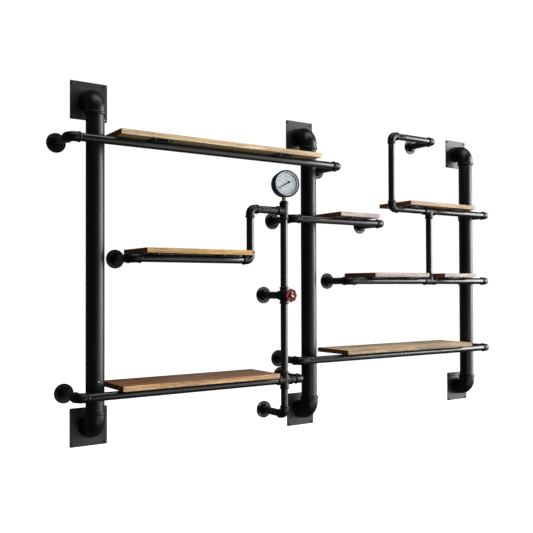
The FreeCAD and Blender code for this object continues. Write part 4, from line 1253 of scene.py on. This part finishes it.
def floor(drop):
    """Flat disc below the unit, out of its reflections."""
    low, high = CAD_BOX
    turn = round_the(FLOOR_SIDES)
    centre = np.array(Vector(((low.x + high.x) / 2, 0.0, low.z - drop)))
    ring = np.stack([np.cos(turn), np.sin(turn), 0 * turn], axis=-1) * FLOOR_RADIUS + centre
    mesh = bpy.data.meshes.new("floor")
    mesh.from_pydata(ring.tolist(), [], [list(range(FLOOR_SIDES))])
    disc = linked("floor", mesh)
    mesh.materials.append(Finish("pale floor").set(
        Base_Color=(0.9, 0.9, 0.9), Roughness=0.9, Emission_Color=WHITE, Emission_Strength=FLOOR_GLOW))
    disc.visible_glossy = False
    disc.visible_diffuse = False
    disc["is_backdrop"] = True


def surroundings(room_light):
    """White where the camera looks past the unit, and a dim studio in everything that it lights."""
    world = bpy.data.worlds.new("studio")
    bpy.context.scene.world = world
    world.use_nodes = True
    tree = world.node_tree
    dim, white = tree.nodes["Background"], tree.nodes.new("ShaderNodeBackground")
    for lamp, tint, strength in ((dim, (0.94, 0.97, 1.0), room_light), (white, WHITE, BACKGROUND)):
        lamp.inputs["Color"].default_value = (*tint, 1.0)
        lamp.inputs["Strength"].default_value = strength
    rays, mix = tree.nodes.new("ShaderNodeLightPath"), tree.nodes.new("ShaderNodeMixShader")
    for socket, source in zip(mix.inputs, (rays.outputs["Is Camera Ray"], dim.outputs[0], white.outputs[0])):
        tree.links.new(source, socket)
    tree.links.new(mix.outputs[0], tree.nodes["World Output"].inputs["Surface"])


class SHELF_OT_stage(bpy.types.Operator):
    """Camera, softboxes, floor and surroundings"""

    bl_idname = "shelf.stage"
    bl_label = "Stage"

    def execute(self, context):
        look = context.scene.shelf_stage
        context.scene.view_settings.view_transform = "Standard"
        viewpoint()
        floor(look.floor_drop)
        surroundings(look.room_light)
        for name in SOFTBOXES:
            softbox(name, getattr(look, name + "_power"))
        return {"FINISHED"}


class SHELF_PT_panel(bpy.types.Panel):
    """Lists the unit's builders"""

    bl_idname = "SHELF_PT_panel"
    bl_label = "Pipe shelving unit"
    bl_space_type = "VIEW_3D"
    bl_region_type = "UI"
    bl_category = "Shelf"

    def draw(self, context):
        for operator in OPERATORS:
            self.layout.operator(operator.bl_idname)
        for name, group in GROUPS.items():
            box = self.layout.box()
            for field in group.__annotations__:
                box.prop(getattr(context.scene, name), field)


GROUPS = {"shelf_pipework": ShelfPipework, "shelf_boards": ShelfBoards, "shelf_gauge": ShelfGauge,
          "shelf_stage": ShelfStage}
OPERATORS = (SHELF_OT_pipes, SHELF_OT_fittings, SHELF_OT_plates, SHELF_OT_boards, SHELF_OT_valve,
             SHELF_OT_gauge, SHELF_OT_stage)


def register():
    for name, group in GROUPS.items():
        bpy.utils.register_class(group)
        setattr(bpy.types.Scene, name, bpy.props.PointerProperty(type=group))
    for kind in (*OPERATORS, SHELF_PT_panel):
        bpy.utils.register_class(kind)


def unregister():
    for kind in reversed((*OPERATORS, SHELF_PT_panel)):
        bpy.utils.unregister_class(kind)
    for name, group in GROUPS.items():
        delattr(bpy.types.Scene, name)
        bpy.utils.unregister_class(group)


def main():
    register()
    for operator in OPERATORS:
        group, name = operator.bl_idname.split(".")
        getattr(getattr(bpy.ops, group), name)()
    boxes = {"cad": CAD_BOX, "visual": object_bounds()}
    {name: [list(corner) for corner in box] for name, box in boxes.items()}


if __name__ == "__main__":
    main()
